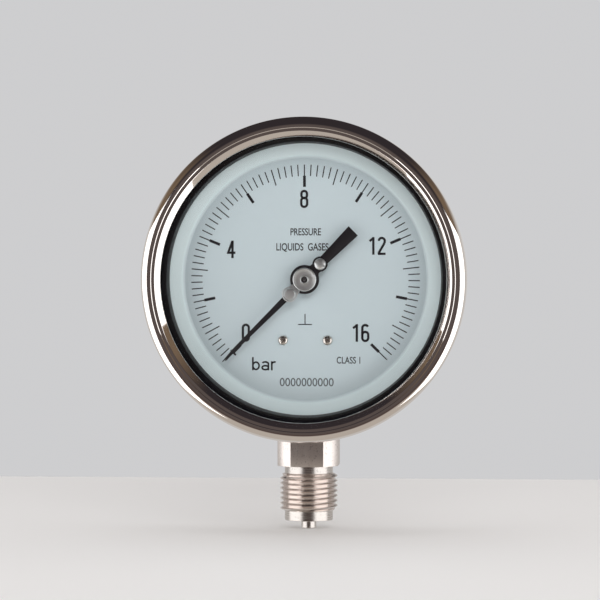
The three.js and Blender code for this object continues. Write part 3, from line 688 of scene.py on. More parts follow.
@dataclass
class Case:
    """Drawn steel case with its blow-out plug and the weld at the socket."""

    finishes: Finishes
    radius: float = span("case", 0)[1]
    front: float = span("case", 1)[0]
    back: float = span("case", 1)[1]
    wall: float = 1.2
    back_round: float = 4.0
    plug_radius: float = 9.0
    plug_place: Point = (middle("blowout_plug", 0), middle("blowout_plug", 2) - CENTRE_Z)
    pressed_ring: tuple[Point, ...] = ((38.6, 0.0), (38.0, 0.03), (37.3, 0.35), (36.5, 0.45), (35.7, 0.35),
                                       (35.0, 0.03), (34.4, 0.0))
    support_loops: tuple[float, ...] = (50.0, 39.0, 34.0, 20.0)
    plug_stem: float = 8.7
    plug_flange: float = 10.5
    plug_flange_depth: float = 1.2
    entry_half: float = 10.6
    bead_half: float = 12.6
    corner_more: float = 1.5

    def build(self) -> None:
        """Makes the shell, the plug and the weld bead."""
        self.shell()
        self.plug()
        self.weld()

    def shell(self) -> None:
        """Makes the deep-drawn shell, with a pressed ring round its back."""
        corner = (self.radius - self.back_round, self.back - self.back_round)
        rings = [*((r, 0.0) for r in self.support_loops), *self.pressed_ring]
        flat = [(r, self.back - depth) for r, depth in sorted(rings, reverse=True)]
        outside = [(self.radius, self.front), *arc(corner, self.back_round, 0, 90, 10), *flat,
                   (0.0, self.back)]
        inner = self.back_round - self.wall
        inside = [(0.0, self.back - self.wall), *arc(corner, inner, 90, 0, 8),
                  (self.radius - self.wall, self.front)]
        shell = spun(outside + inside, steps=WIDE_STEPS, closed=True)
        hole = rod(self.plug_radius, self.back - 3, self.back + 1, self.plug_place)
        lowest = CENTRE_Z - self.radius
        entry = square_bar(self.entry_half, self.entry_half + self.corner_more, lowest - 2, lowest + 9)
        bm = cut_by(shell, [hole, entry])
        add_piece("case_shell", bm, self.finishes.case, replaces=["case"], smooth_below=24.0)

    def plug(self) -> None:
        """Makes the rubber blow-out plug, ribbed and dished."""
        stem, flange = self.plug_stem, self.plug_flange
        under = self.back - self.wall - 0.3
        end = under - self.plug_flange_depth
        ribs = ((0.0, 0.9), (2.0, 0.9), (2.4, 0.3), (3.0, 0.3), (3.4, 0.9), (5.6, 0.9), (6.0, 0.2),
                (8.0, 0.0), (stem, 0.4))
        face = [(r, self.back - drop) for r, drop in ribs]
        profile = [*face, (stem, under), (flange, under), (flange, end), (0.0, end)]
        bm = spun(profile, centre=self.plug_place, steps=SMALL_STEPS)
        add_piece("blowout_plug_moulded", bm, self.finishes.plug, replaces=["blowout_plug"])

    def weld(self) -> None:
        """Makes the weld bead where the socket enters the case."""
        low, high = span("socket_weld_collar", 2)
        hole_half = self.entry_half - 0.05
        bead = square_bar(self.bead_half, self.bead_half + self.corner_more, low + 0.4, high)
        inside = square_bar(hole_half, hole_half + self.corner_more, low - 1, high + 1)
        drum = rod(self.radius + 0.05, self.front - 5, self.back + 5, steps=WIDE_STEPS)
        bm = cut_by(bead, [inside, drum])
        soften(bm, 0.5, 3, 50.0)
        add_piece("socket_weld_bead", bm, self.finishes.inner, replaces=["socket_weld_collar"])


@dataclass
class Window:
    """Glass pane with the black rings in front of it and behind it."""

    finishes: Finishes
    radius: float = span("window", 0)[1]
    front: float = span("window", 1)[0]
    back: float = span("window", 1)[1]
    gasket_width: float = 1.7
    spacer_inner: float = 48.65
    spacer_lean: float = 0.7

    def build(self) -> None:
        """Makes the pane, the gasket and the spacer ring."""
        pane = rod(self.radius, self.front, self.back, steps=WIDE_STEPS)
        soften(pane, 0.35)
        add_piece("window_pane", pane, self.finishes.glass, replaces=["window"])
        gasket = span("window_gasket", 0)[1] - self.gasket_width
        self.ring("window_gasket_ring", "window_gasket", (gasket, gasket))
        spacer = (self.spacer_inner + self.spacer_lean, self.spacer_inner)
        self.ring("spacer_black_ring", "spacer_ring", spacer)

    def ring(self, name: str, node: str, inner: Point) -> None:
        """Makes one black ring in the place of its CAD node.

        Args:
            name: Name of the piece.
            node: CAD node that it stands for.
            inner: Inner radius at the front and at the back.
        """
        (front, back), outer = span(node, 1), span(node, 0)[1]
        section = [(inner[0], front), (outer, front), (outer, back), (inner[1], back)]
        bm = spun(section, steps=WIDE_STEPS, closed=True)
        soften(bm, 0.25, 3)
        add_piece(name, bm, self.finishes.seal, replaces=[node])


# ---------------------------------------------------------------------------
# Screws
# ---------------------------------------------------------------------------
@dataclass
class PanScrew:
    """Screw whose domed head faces the front, with a cross or a slot."""

    head_radius: float
    head_front: float
    head_back: float
    shank_radius: float
    shank_end: float
    recess_width: float
    recess_length: float
    crossed: bool
    recess_turn: float = 25.0
    recess_share: float = 0.7
    side_height: float = 0.12
    dome_power: float = 0.6

    def mesh(self, centre: Point) -> Mesh:
        """Makes the screw.

        Args:
            centre: Place relative to the gauge axis.

        Returns:
            Its mesh.
        """
        height = self.head_back - self.head_front
        angles = [math.radians(a) for a in (12, 24, 36, 48, 60, 72, 82)]
        dome = [(self.head_radius * math.sin(a), self.head_back - height * math.cos(a) ** self.dome_power)
                for a in angles]
        profile = [(0.0, self.head_front), *dome, (self.head_radius, self.head_back - self.side_height),
                   (self.head_radius, self.head_back), (self.shank_radius, self.head_back),
                   (self.shank_radius, self.shank_end), (0.0, self.shank_end)]
        body = spun(profile, centre=centre, steps=48)
        turns = (self.recess_turn, self.recess_turn + 90.0) if self.crossed else (self.recess_turn,)
        return cut_by(body, [self.recess(centre, turn) for turn in turns])

    def recess(self, centre: Point, degrees: float) -> Mesh:
        """Makes one bar of the recess.

        Args:
            centre: Place relative to the gauge axis.
            degrees: Its direction.

        Returns:
            A closed mesh to cut with.
        """
        half_length, half_width = self.recess_length / 2, self.recess_width / 2
        corners = [(-half_length, -half_width), (half_length, -half_width), (half_length, half_width),
                   (-half_length, half_width)]
        floor = self.head_front + self.recess_share * (self.head_back - self.head_front)
        return turned_to(plate(corners, self.head_front - 1, floor, centre, 0.0), degrees, centre)


# ---------------------------------------------------------------------------
# Dial
# ---------------------------------------------------------------------------
class Mark(Enum):
    """Kinds of scale mark, by outer radius, inner radius and half width."""

    MINOR = (41.1, 37.0, 0.19)
    WHOLE_BAR = (41.1, 35.2, 0.2)
    NUMBERED = (41.1, 37.0, 0.2)
    NUMBERED_BAR = (37.1, 33.1, 0.5)


@dataclass
class Dial:
    """Recessed dial with its scale, numerals, small print and screws."""

    finishes: Finishes
    radius: float = span("dial", 0)[1]
    rim_front: float = span("dial", 1)[0]
    back: float = span("dial", 1)[1]
    thickness: float = 0.8
    step_radius: float = 44.9
    step_width: float = 1.5
    flat_radius: float = 36.0
    edge_drop: float = 0.85
    rim_rise: float = 0.85
    rim_slope: float = 4.5
    arbor_hole: float = 3.0
    screw_hole: float = 1.4
    sweep: float = 270.0
    full_scale: int = 16
    divisions_per_bar: int = 5
    print_turn: float = 0.5
    zero_bar: tuple[float, float, float] = (37.0, 1.3, 0.68)
    screw_place: Point = (middle("dial_screw_right", 0), middle("dial_screw_right", 2) - CENTRE_Z)

    def surface(self, radius: float) -> float:
        """Place of the printed face, which curves away a little towards the raised rim.

        Args:
            radius: Distance from the gauge axis.

        Returns:
            The face's place along Y.
        """
        foot = self.step_radius - self.step_width
        share = min(1.0, max(0.0, (radius - self.flat_radius) / (foot - self.flat_radius)))
        return self.back - self.thickness + self.edge_drop * share ** 2

    def build(self) -> None:
        """Makes the dish and everything on it."""
        self.dish()
        self.scale()
        self.numerals()
        self.small_print()
        self.screws()

    def dish(self) -> None:
        """Makes the pressed dial plate."""
        steps, foot = 12, self.step_radius - self.step_width
        radii = [self.flat_radius + (foot - self.flat_radius) * i / steps for i in range(steps + 1)]
        face = [(self.arbor_hole, self.surface(0.0)), *((r, self.surface(r)) for r in radii)]
        step, rim_back = self.rim_front + self.rim_rise, self.rim_front + self.thickness
        rim = [(self.step_radius - 0.3, step + 0.1), (self.step_radius, step),
               (self.step_radius + self.rim_slope, self.rim_front), (self.radius, self.rim_front),
               (self.radius, rim_back), (self.step_radius + 0.9, rim_back)]
        behind = [*((r, self.surface(r) + self.thickness) for r in reversed(radii[::3])),
                  (self.arbor_hole, self.back)]
        plain = spun(face + rim + behind, steps=WIDE_STEPS, closed=True)
        holes = [rod(self.screw_hole, self.rim_front - 1, self.back + 1,
                     (side * self.screw_place[0], self.screw_place[1]), 32) for side in (-1, 1)]
        add_piece("dial_dish", cut_by(plain, holes), self.finishes.dial, replaces=["dial"],
                  smooth_below=20.0)

    def add_print(self, name: str, printed: "Print", material: Material) -> None:
        """Lays a print on the dial's face.

        Args:
            name: Name of the piece.
            printed: Flat print.
            material: Its ink.
        """
        add_piece(name, printed.laid_on(self.surface), material)

    def scale(self) -> None:
        """Prints the marks of the scale and the bar across its zero."""
        marks = Print()
        count = self.full_scale * self.divisions_per_bar
        start = 90.0 + self.sweep / 2 + self.print_turn
        for i in range(count + 1):
            angle = start - self.sweep * i / count
            bars, rest = divmod(i, self.divisions_per_bar)
            if rest:
                marks.radial(angle, Mark.MINOR)
            elif bars % 2:
                marks.radial(angle, Mark.WHOLE_BAR)
            else:
                marks.radial(angle, Mark.NUMBERED)
                marks.radial(angle, Mark.NUMBERED_BAR)
        marks.across(start, *self.zero_bar)
        self.add_print("dial_scale_print", marks, self.finishes.ink)

    def numerals(self) -> None:
        """Prints the numbers and the unit."""
        printed = Print()
        for text, place in (("0", (-21.4, -19.2)), ("4", (-26.6, 10.7)), ("8", (-0.4, 28.8)),
                            ("12", (25.7, 12.0)), ("16", (19.8, -19.2))):
            printed.figures(text, place)
        self.add_print("dial_numerals", printed, self.finishes.ink)
        unit = Print()
        unit.unit_name((-14.4, -32.7))
        self.add_print("dial_unit", unit, self.finishes.ink)

    def small_print(self) -> None:
        """Prints the small generic lines, the accuracy, the upright sign and a blank number."""
        ink = Print()
        ink.letters("PRESSURE", (0.1, 17.1), 2.6, 0.72, 0.014)
        ink.letters("LIQUIDS  GASES", (-1.1, 11.7), 2.7, 0.72, 0.014)
        ink.letters("CLASS 1", (15.7, -28.9), 2.5, 0.74, 0.012)
        sign_foot, thin = -16.2, 0.36
        ink.stroke([(-2.6, sign_foot), (2.4, sign_foot)], thin)
        ink.stroke([(-0.1, sign_foot), (-0.1, sign_foot + 3.8)], thin)
        self.add_print("dial_small_print", ink, self.finishes.ink)
        stamp = Print()
        stamp.letters("0000000000", (0.5, -36.8), 3.1, 0.92, 0.006)
        self.add_print("dial_blank_number", stamp, self.finishes.grey_ink)

    def screws(self) -> None:
        """Makes the two dial screws."""
        front, back = span("dial_screw_right", 1)
        head_radius = span("dial_screw_right", 0)[1] - self.screw_place[0]
        screw = PanScrew(head_radius, front, head_back=self.surface(0.0) - TOUCH_GAP, shank_radius=1.1,
                         shank_end=back, recess_width=0.55, recess_length=2.1, crossed=True)
        for name, side in (("left", -1), ("right", 1)):
            bm = screw.mesh((side * self.screw_place[0], self.screw_place[1]))
            add_piece(f"dial_screw_{name}_head", bm, self.finishes.screw,
                      replaces=[f"dial_screw_{name}"])


class Print:
    """Flat generic print, drawn about the gauge axis as seen from the front and then laid on the dial."""

    FIGURE_HALF_WIDTH = 1.06
    FIGURE_HALF_HEIGHT = 2.84
    FIGURE_STROKE = 0.86
    FIGURE_PITCH = 3.45
    LIFT = 0.015
    LONGEST_STEP = 0.9
    SHORTEST = 1e-6
    LEAST_LEAN = 0.6
    CAPITAL = 0.729

    def __init__(self) -> None:
        """Starts an empty print."""
        self.bm = bmesh.new()

    def stroke(self, path: Sequence[Point], width: float, closed: bool = False) -> None:
        """Draws a line of even width.

        Args:
            path: Points of the line's middle.
            width: Width of the line.
            closed: True if the last point joins the first.
        """
        sides = {-1: [], 1: []}
        path = self.with_steps(path, closed)
        last = len(path) - 1
        for i, point in enumerate(path):
            before = path[i - 1] if closed or i else path[0]
            after = path[(i + 1) % len(path)] if closed or i < last else path[last]
            one = Vector((point[0] - before[0], point[1] - before[1]))
            other = Vector((after[0] - point[0], after[1] - point[1]))
            parts = [part.normalized() for part in (one, other) if part.length > self.SHORTEST]
            along = sum(parts, Vector((0.0, 0.0))).normalized()
            lean = max(self.LEAST_LEAN, along.dot(parts[0]))
            for side, chain in sides.items():
                offset = Vector((-along.y, along.x)) * (side * width / 2 / lean)
                chain.append(self.bm.verts.new((point[0] + offset.x, 0.0, point[1] + offset.y)))
        edges = []
        for chain in sides.values():
            pairs = list(zip(chain, chain[1:])) + ([(chain[-1], chain[0])] if closed else [])
            edges += [self.bm.edges.new(pair) for pair in pairs]
        bmesh.ops.bridge_loops(self.bm, edges=edges)

    def with_steps(self, path: Sequence[Point], closed: bool) -> list[Point]:
        """Adds points to the long parts of a path, so that it can follow the dial's curve.

        Args:
            path: Points of the path.
            closed: True if the last point joins the first.

        Returns:
            The path with no part longer than LONGEST_STEP.
        """
        ends = [*path[1:], path[0]] if closed else path[1:]
        points = []
        for one, other in zip(path, ends):
            steps = math.ceil(math.dist(one, other) / self.LONGEST_STEP)
            points += [(one[0] + (other[0] - one[0]) * i / steps, one[1] + (other[1] - one[1]) * i / steps)
                       for i in range(steps)]
        return points if closed else [*points, path[-1]]

    def radial(self, angle: float, mark: Mark) -> None:
        """Draws one scale mark.

        Args:
            angle: Its direction in degrees, anticlockwise from the right.
            mark: Kind of mark.
        """
        outer, inner, half = mark.value
        direction = (math.cos(math.radians(angle)), math.sin(math.radians(angle)))
        self.stroke([(r * direction[0], r * direction[1]) for r in (inner, outer)], 2 * half)

    def across(self, angle: float, radius: float, half_length: float, width: float) -> None:
        """Draws the short thick bar across the zero mark.

        Args:
            angle: Direction of its middle.
            radius: Distance of its middle from the gauge axis.
            half_length: Half its length.
            width: Its width.
        """
        reach = math.degrees(half_length / radius)
        self.stroke(arc((0.0, 0.0), radius, angle - reach, angle + reach, 4), width)

    def figure_paths(self, figure: str) -> list[tuple[list[Point], bool]]:
        """Middle lines of a condensed figure.

        Args:
            figure: Character from 0, 1, 2, 4, 6 and 8.

        Returns:
            Paths about the figure's centre, each with True if it is closed.
        """
        a, b = self.FIGURE_HALF_WIDTH, self.FIGURE_HALF_HEIGHT
        top, bottom = arc((0.0, b - a), a, 0, 180, 12), arc((0.0, a - b), a, 180, 360, 12)
        waist, small = 0.25, 0.94 * a
        bowl = [*arc((0.0, waist - a + 0.15), a, 0, 180, 12), *bottom]
        upper_loop = [*arc((0.0, b - small), small, 0, 180, 12),
                      *arc((0.0, waist + small), small, 180, 360, 12)]
        shapes = {
            "0": [(top + bottom, True)],
            "1": [([(-0.95, b - 1.15), (0.42, b - 0.1)], False),
                  ([(0.42, b + 0.32), (0.42, -b - 0.32)], False)],
            "2": [([*arc((0.0, b - a), a, 180, 0, 12), (a * 0.94, b - 1.5 * a), (a * 0.7, b - 2.1 * a),
                    (-a, -b + 0.35), (-a, -b)], False), ([(-a - 0.32, -b), (a + 0.3, -b)], False)],
            "4": [([(0.42, b + 0.2), (-a - 0.08, -0.42 * b), (a + 0.42, -0.42 * b)], False),
                  ([(0.42, b + 0.32), (0.42, -b - 0.32)], False)],
            "6": [(bowl, True), ([*arc((0.0, b - a), a, 25, 180, 12), (-a, 0.0), (-a, a - b)], False)],
            "8": [(upper_loop, True), (bowl, True)],
        }
        return shapes[figure]

    def figures(self, text: str, place: Point) -> None:
        """Draws a number.

        Args:
            text: Its figures.
            place: Centre of the number.
        """
        for i, figure in enumerate(text):
            x = place[0] + (i - (len(text) - 1) / 2) * self.FIGURE_PITCH
            for path, closed in self.figure_paths(figure):
                self.stroke([(x + px, place[1] + pz) for px, pz in path], self.FIGURE_STROKE, closed)

    def unit_name(self, place: Point) -> None:
        """Draws the unit, "bar".

        Args:
            place: Middle of the word's foot.
        """
        width, body, tall, stroke = 1.12, 1.62, 4.75, 0.62
        bowl = [(x * width, body + z * (body - stroke / 2)) for x, z in arc((0.0, 0.0), 1.0, 0, 345, 23)]
        letter_b = [(bowl, True), ([(-width, 0.0), (-width, tall)], False)]
        low = [(x * width, 0.95 + z * 0.72) for x, z in arc((0.0, 0.0), 1.0, 0, 345, 23)]
        top = [(x * width, 2.3 + z * 0.72) for x, z in arc((0.0, 0.0), 1.0, 155, 0, 12)]
        letter_a = [(low, True), ([*top, (width, 1.2), (width, 0.0)], False)]
        bend = [(x * 1.05 + 0.15, 2.1 + z * 0.9) for x, z in arc((0.0, 0.0), 1.0, 180, 70, 8)]
        letter_r = [([(-0.9, 0.0), (-0.9, 2 * body)], False), (bend, False)]
        for letter, shift in ((letter_b, -3.35), (letter_a, 0.0), (letter_r, 3.25)):
            for path, closed in letter:
                self.stroke([(place[0] + shift + x, place[1] + z) for x, z in path], stroke, closed)

    def letters(self, text: str, place: Point, height: float, width_factor: float, weight: float) -> None:
        """Adds a line of small letters.

        Args:
            text: Characters to print.
            place: Centre of the line.
            height: Height of a capital.
            width_factor: Width as a share of the type's own.
            weight: Extra thickness of the strokes, as a share of the type's size.
        """
        curve = bpy.data.curves.new("print", "FONT")
        curve.body = text
        curve.offset = weight
        curve.resolution_u = 5
        curve.align_x = "CENTER"
        writer = bpy.data.objects.new("print", curve)
        bpy.context.scene.collection.objects.link(writer)
        depsgraph = bpy.context.evaluated_depsgraph_get()
        mesh = bpy.data.meshes.new_from_object(writer.evaluated_get(depsgraph))
        bpy.data.curves.remove(curve)
        size = height / self.CAPITAL
        for vert in mesh.vertices:
            x, z = vert.co.x * size * width_factor, (vert.co.y - self.CAPITAL / 2) * size
            vert.co = (x + place[0], 0.0, z + place[1])
        self.bm.from_mesh(mesh)
        bpy.data.meshes.remove(mesh)

    def laid_on(self, surface: Callable[[float], float]) -> Mesh:
        """Lays the print just proud of a round surface.

        Args:
            surface: Gives the surface's place along Y at a radius.

        Returns:
            The mesh, facing the front.
        """
        for vert in self.bm.verts:
            x, z = vert.co.x, vert.co.z
            vert.co = Vector((x, surface(math.hypot(x, z)) - self.LIFT, z + CENTRE_Z)) * MM
        self.bm.normal_update()
        bmesh.ops.reverse_faces(self.bm, faces=[f for f in self.bm.faces if f.normal.y > 0])
        return self.bm


# ---------------------------------------------------------------------------
# Pointer
# ---------------------------------------------------------------------------
@dataclass
class Pointer:
    """Adjustable pointer and its hub, drawn pointing along +X and turned to zero."""

    finishes: Finishes
    zero: float = 135.0
    carrier: Point = span("pointer_carrier", 1)
    blade: Point = span("pointer_blade", 1)
    plate: Point = span("pointer_clamp_plate", 1)
    hub: Point = span("pointer_hub", 1)
    ring_radius: float = 5.2
    lobe_radius: float = 2.75
    lobe_place: float = -7.8
    fillet: float = 1.1
    rivet_place: float = 7.5
    disc_radius: float = 2.72
    hub_radius: float = 4.2
    hub_gap: float = 0.12
    neck_half: float = 1.75
    neck_flare: float = 14.0
    tail_half: Point = (1.75, 2.35)
    tail_end: float = -24.6
    blade_root: float = 6.0
    blade_shoulder: float = 10.1
    blade_half: Point = (1.1, 0.62)
    blade_taper: float = 36.0
    blade_tip: float = 41.7
    tip_half: float = 0.12
    rivet_radius: float = 2.1
    rivet_shank: float = 0.7
    rivet_hole: float = 2.25
    shaft_hole: float = 1.1
    collar_radius: float = 2.0

    def build(self) -> None:
        """Makes every piece of the pointer."""
        self.carrier_plate()
        self.blade_plate()
        self.clamp_plate()
        self.rivet()
        self.adjusting_screw()
        self.hub_disc()
        dress(["pinion_shaft"], self.finishes.spring)

    def at_zero(self, x: float) -> Point:
        """Place of a point of the pointer once it is turned to zero.

        Args:
            x: Distance along the pointer.

        Returns:
            Its x and z relative to the gauge axis.
        """
        angle = math.radians(-self.zero)
        return x * math.cos(angle), x * math.sin(angle)

    def carrier_outline(self) -> list[Point]:
        """Outline of the ring, the screw's lobe and the tail, with hollow fillets between ring and lobe.

        Returns:
            Points of (x, z), once round.
        """
        ring_reach, lobe_reach = self.ring_radius + self.fillet, self.lobe_radius + self.fillet
        apart = -self.lobe_place
        at_ring = corner_angle(ring_reach, apart, lobe_reach)
        at_lobe = corner_angle(lobe_reach, apart, ring_reach)
        waist = math.degrees(math.asin(self.tail_half[0] / self.lobe_radius))
        fillet_centre = arc((0, 0), ring_reach, 180 - at_ring, 180 - at_ring, 1)[0]
        upper = [*arc((0, 0), self.ring_radius, 0, 180 - at_ring, 26),
                 *arc(fillet_centre, self.fillet, -at_ring, at_lobe - 180, 5)[1:],
                 *arc((self.lobe_place, 0), self.lobe_radius, at_lobe, 180 - waist, 8)[1:],
                 (self.tail_end, self.tail_half[1])]
        return upper + [(x, -z) for x, z in reversed(upper)]

    def carrier_plate(self) -> None:
        """Makes the black ring with the screw's lobe and the tail."""
        bm = turned_to(plate(self.carrier_outline(), *self.carrier), self.zero)
        add_piece("pointer_tail_and_ring", bm, self.finishes.pointer, "pointer",
                  ["pointer_carrier"])

    def blade_plate(self) -> None:
        """Makes the black blade, from under the bright plate to its tip."""
        start, end = self.blade_half
        upper = [(self.blade_tip, self.tip_half), (self.blade_taper, end), (self.blade_shoulder, start),
                 (self.blade_root, start)]
        outline = upper + [(x, -z) for x, z in reversed(upper)]
        bm = turned_to(plate(outline, *self.blade, rounding=0.05), self.zero)
        add_piece("pointer_black_blade", bm, self.finishes.pointer, "pointer",
                  ["pointer_blade"])

    def clamp_plate(self) -> None:
        """Makes the bright plate that runs from the hub disc's edge to the rivet."""
        reach, root = self.rivet_place, self.hub_radius + self.hub_gap
        spread = math.degrees(math.asin(self.neck_half / root))
        meets = math.degrees(math.asin(self.neck_half / self.disc_radius)) + self.neck_flare
        disc = arc((reach, 0), self.disc_radius, meets - 180, 180 - meets, 32)
        hollow = arc((0, 0), root, spread, -spread, 8)
        front, back = self.plate
        hole = rod(self.rivet_hole, front - 1, back + 0.2, (reach, 0))
        bm = turned_to(cut_by(plate(disc + hollow, front, back, rounding=0.1), [hole]), self.zero)
        add_piece("pointer_bright_plate", bm, self.finishes.hub, "pointer",
                  ["pointer_clamp_plate"])

    def rivet(self) -> None:
        """Makes the flat rivet that holds the blade."""
        front, back = span("pointer_rivet", 1)
        radius, shank, under = self.rivet_radius, self.rivet_shank, self.plate[0] + 0.2
        head = [(0.0, front + 0.1), (radius - 0.38, front + 0.1), (radius - 0.26, front + 0.13),
                (radius, front + 0.4), (radius, under), (shank, under)]
        bm = spun([*head, (shank, back), (0.0, back)], centre=self.at_zero(self.rivet_place), steps=48)
        add_piece("pointer_rivet_head", bm, self.finishes.hub, "pointer", ["pointer_rivet"])

    def adjusting_screw(self) -> None:
        """Makes the zero adjusting screw on the tail's lobe."""
        front, back = span("pointer_adjust_screw", 1)
        screw = PanScrew(head_radius=2.1, head_front=front, head_back=self.carrier[0] - TOUCH_GAP,
                         shank_radius=0.9, shank_end=back, recess_width=0.6, recess_length=4.6, crossed=False)
        bm = screw.mesh(self.at_zero(self.lobe_place))
        add_piece("pointer_zero_screw", bm, self.finishes.hub, "adjust_screw",
                  ["pointer_adjust_screw"])

    def hub_disc(self) -> None:
        """Makes the bright hub disc with its rounded edge and the collar round the shaft."""
        front, back = self.hub
        face, edge, under = front + 0.5, self.hub_radius, front + 1.2
        hollow = [(self.shaft_hole, face - 0.1), (1.15, face - 0.3), (1.3, face - 0.34), (1.45, face - 0.2),
                  (1.5, face + 0.1), (1.8, face + 0.14), (3.5, face + 0.1), (3.75, face)]
        rounded = [(edge - 0.3, face), (edge - 0.1, face + 0.1), (edge, face + 0.3), (edge, under)]
        collar = [(self.collar_radius, under), (self.collar_radius, back), (self.shaft_hole, back)]
        profile = hollow + rounded + collar
        bm = spun(profile, steps=SMALL_STEPS, closed=True)
        add_piece("pointer_hub_disc", bm, self.finishes.hub, "pinion", ["pointer_hub"],
                  smooth_below=24.0)


# ---------------------------------------------------------------------------
# Socket
# ---------------------------------------------------------------------------
def square_bar(half: float, corner_radius: float, bottom: float, top: float) -> Mesh:
    """An upright bar turned round and milled to a square.

    Args:
        half: Half the distance across flats.
        corner_radius: Radius that is left at the corners.
        bottom: Lowest height.
        top: Highest height.

    Returns:
        The mesh.
    """
    bm = bmesh.new()
    bmesh.ops.create_cone(bm, cap_ends=True, cap_tris=False, segments=128, radius1=corner_radius * MM,
                          radius2=corner_radius * MM, depth=(top - bottom) * MM)
    bmesh.ops.translate(bm, verts=bm.verts[:], vec=(0.0, 0.0, (top + bottom) / 2 * MM))
    for normal in ((1, 0, 0), (-1, 0, 0), (0, 1, 0), (0, -1, 0)):
        place = Vector(normal) * half * MM
        cut = bmesh.ops.bisect_plane(bm, geom=bm.verts[:] + bm.edges[:] + bm.faces[:], plane_co=place,
                                     plane_no=normal, clear_outer=True)
        rim = [e for e in cut["geom_cut"] if isinstance(e, bmesh.types.BMEdge)]
        bmesh.ops.edgenet_fill(bm, edges=rim)
    tidy(bm)
    return bm


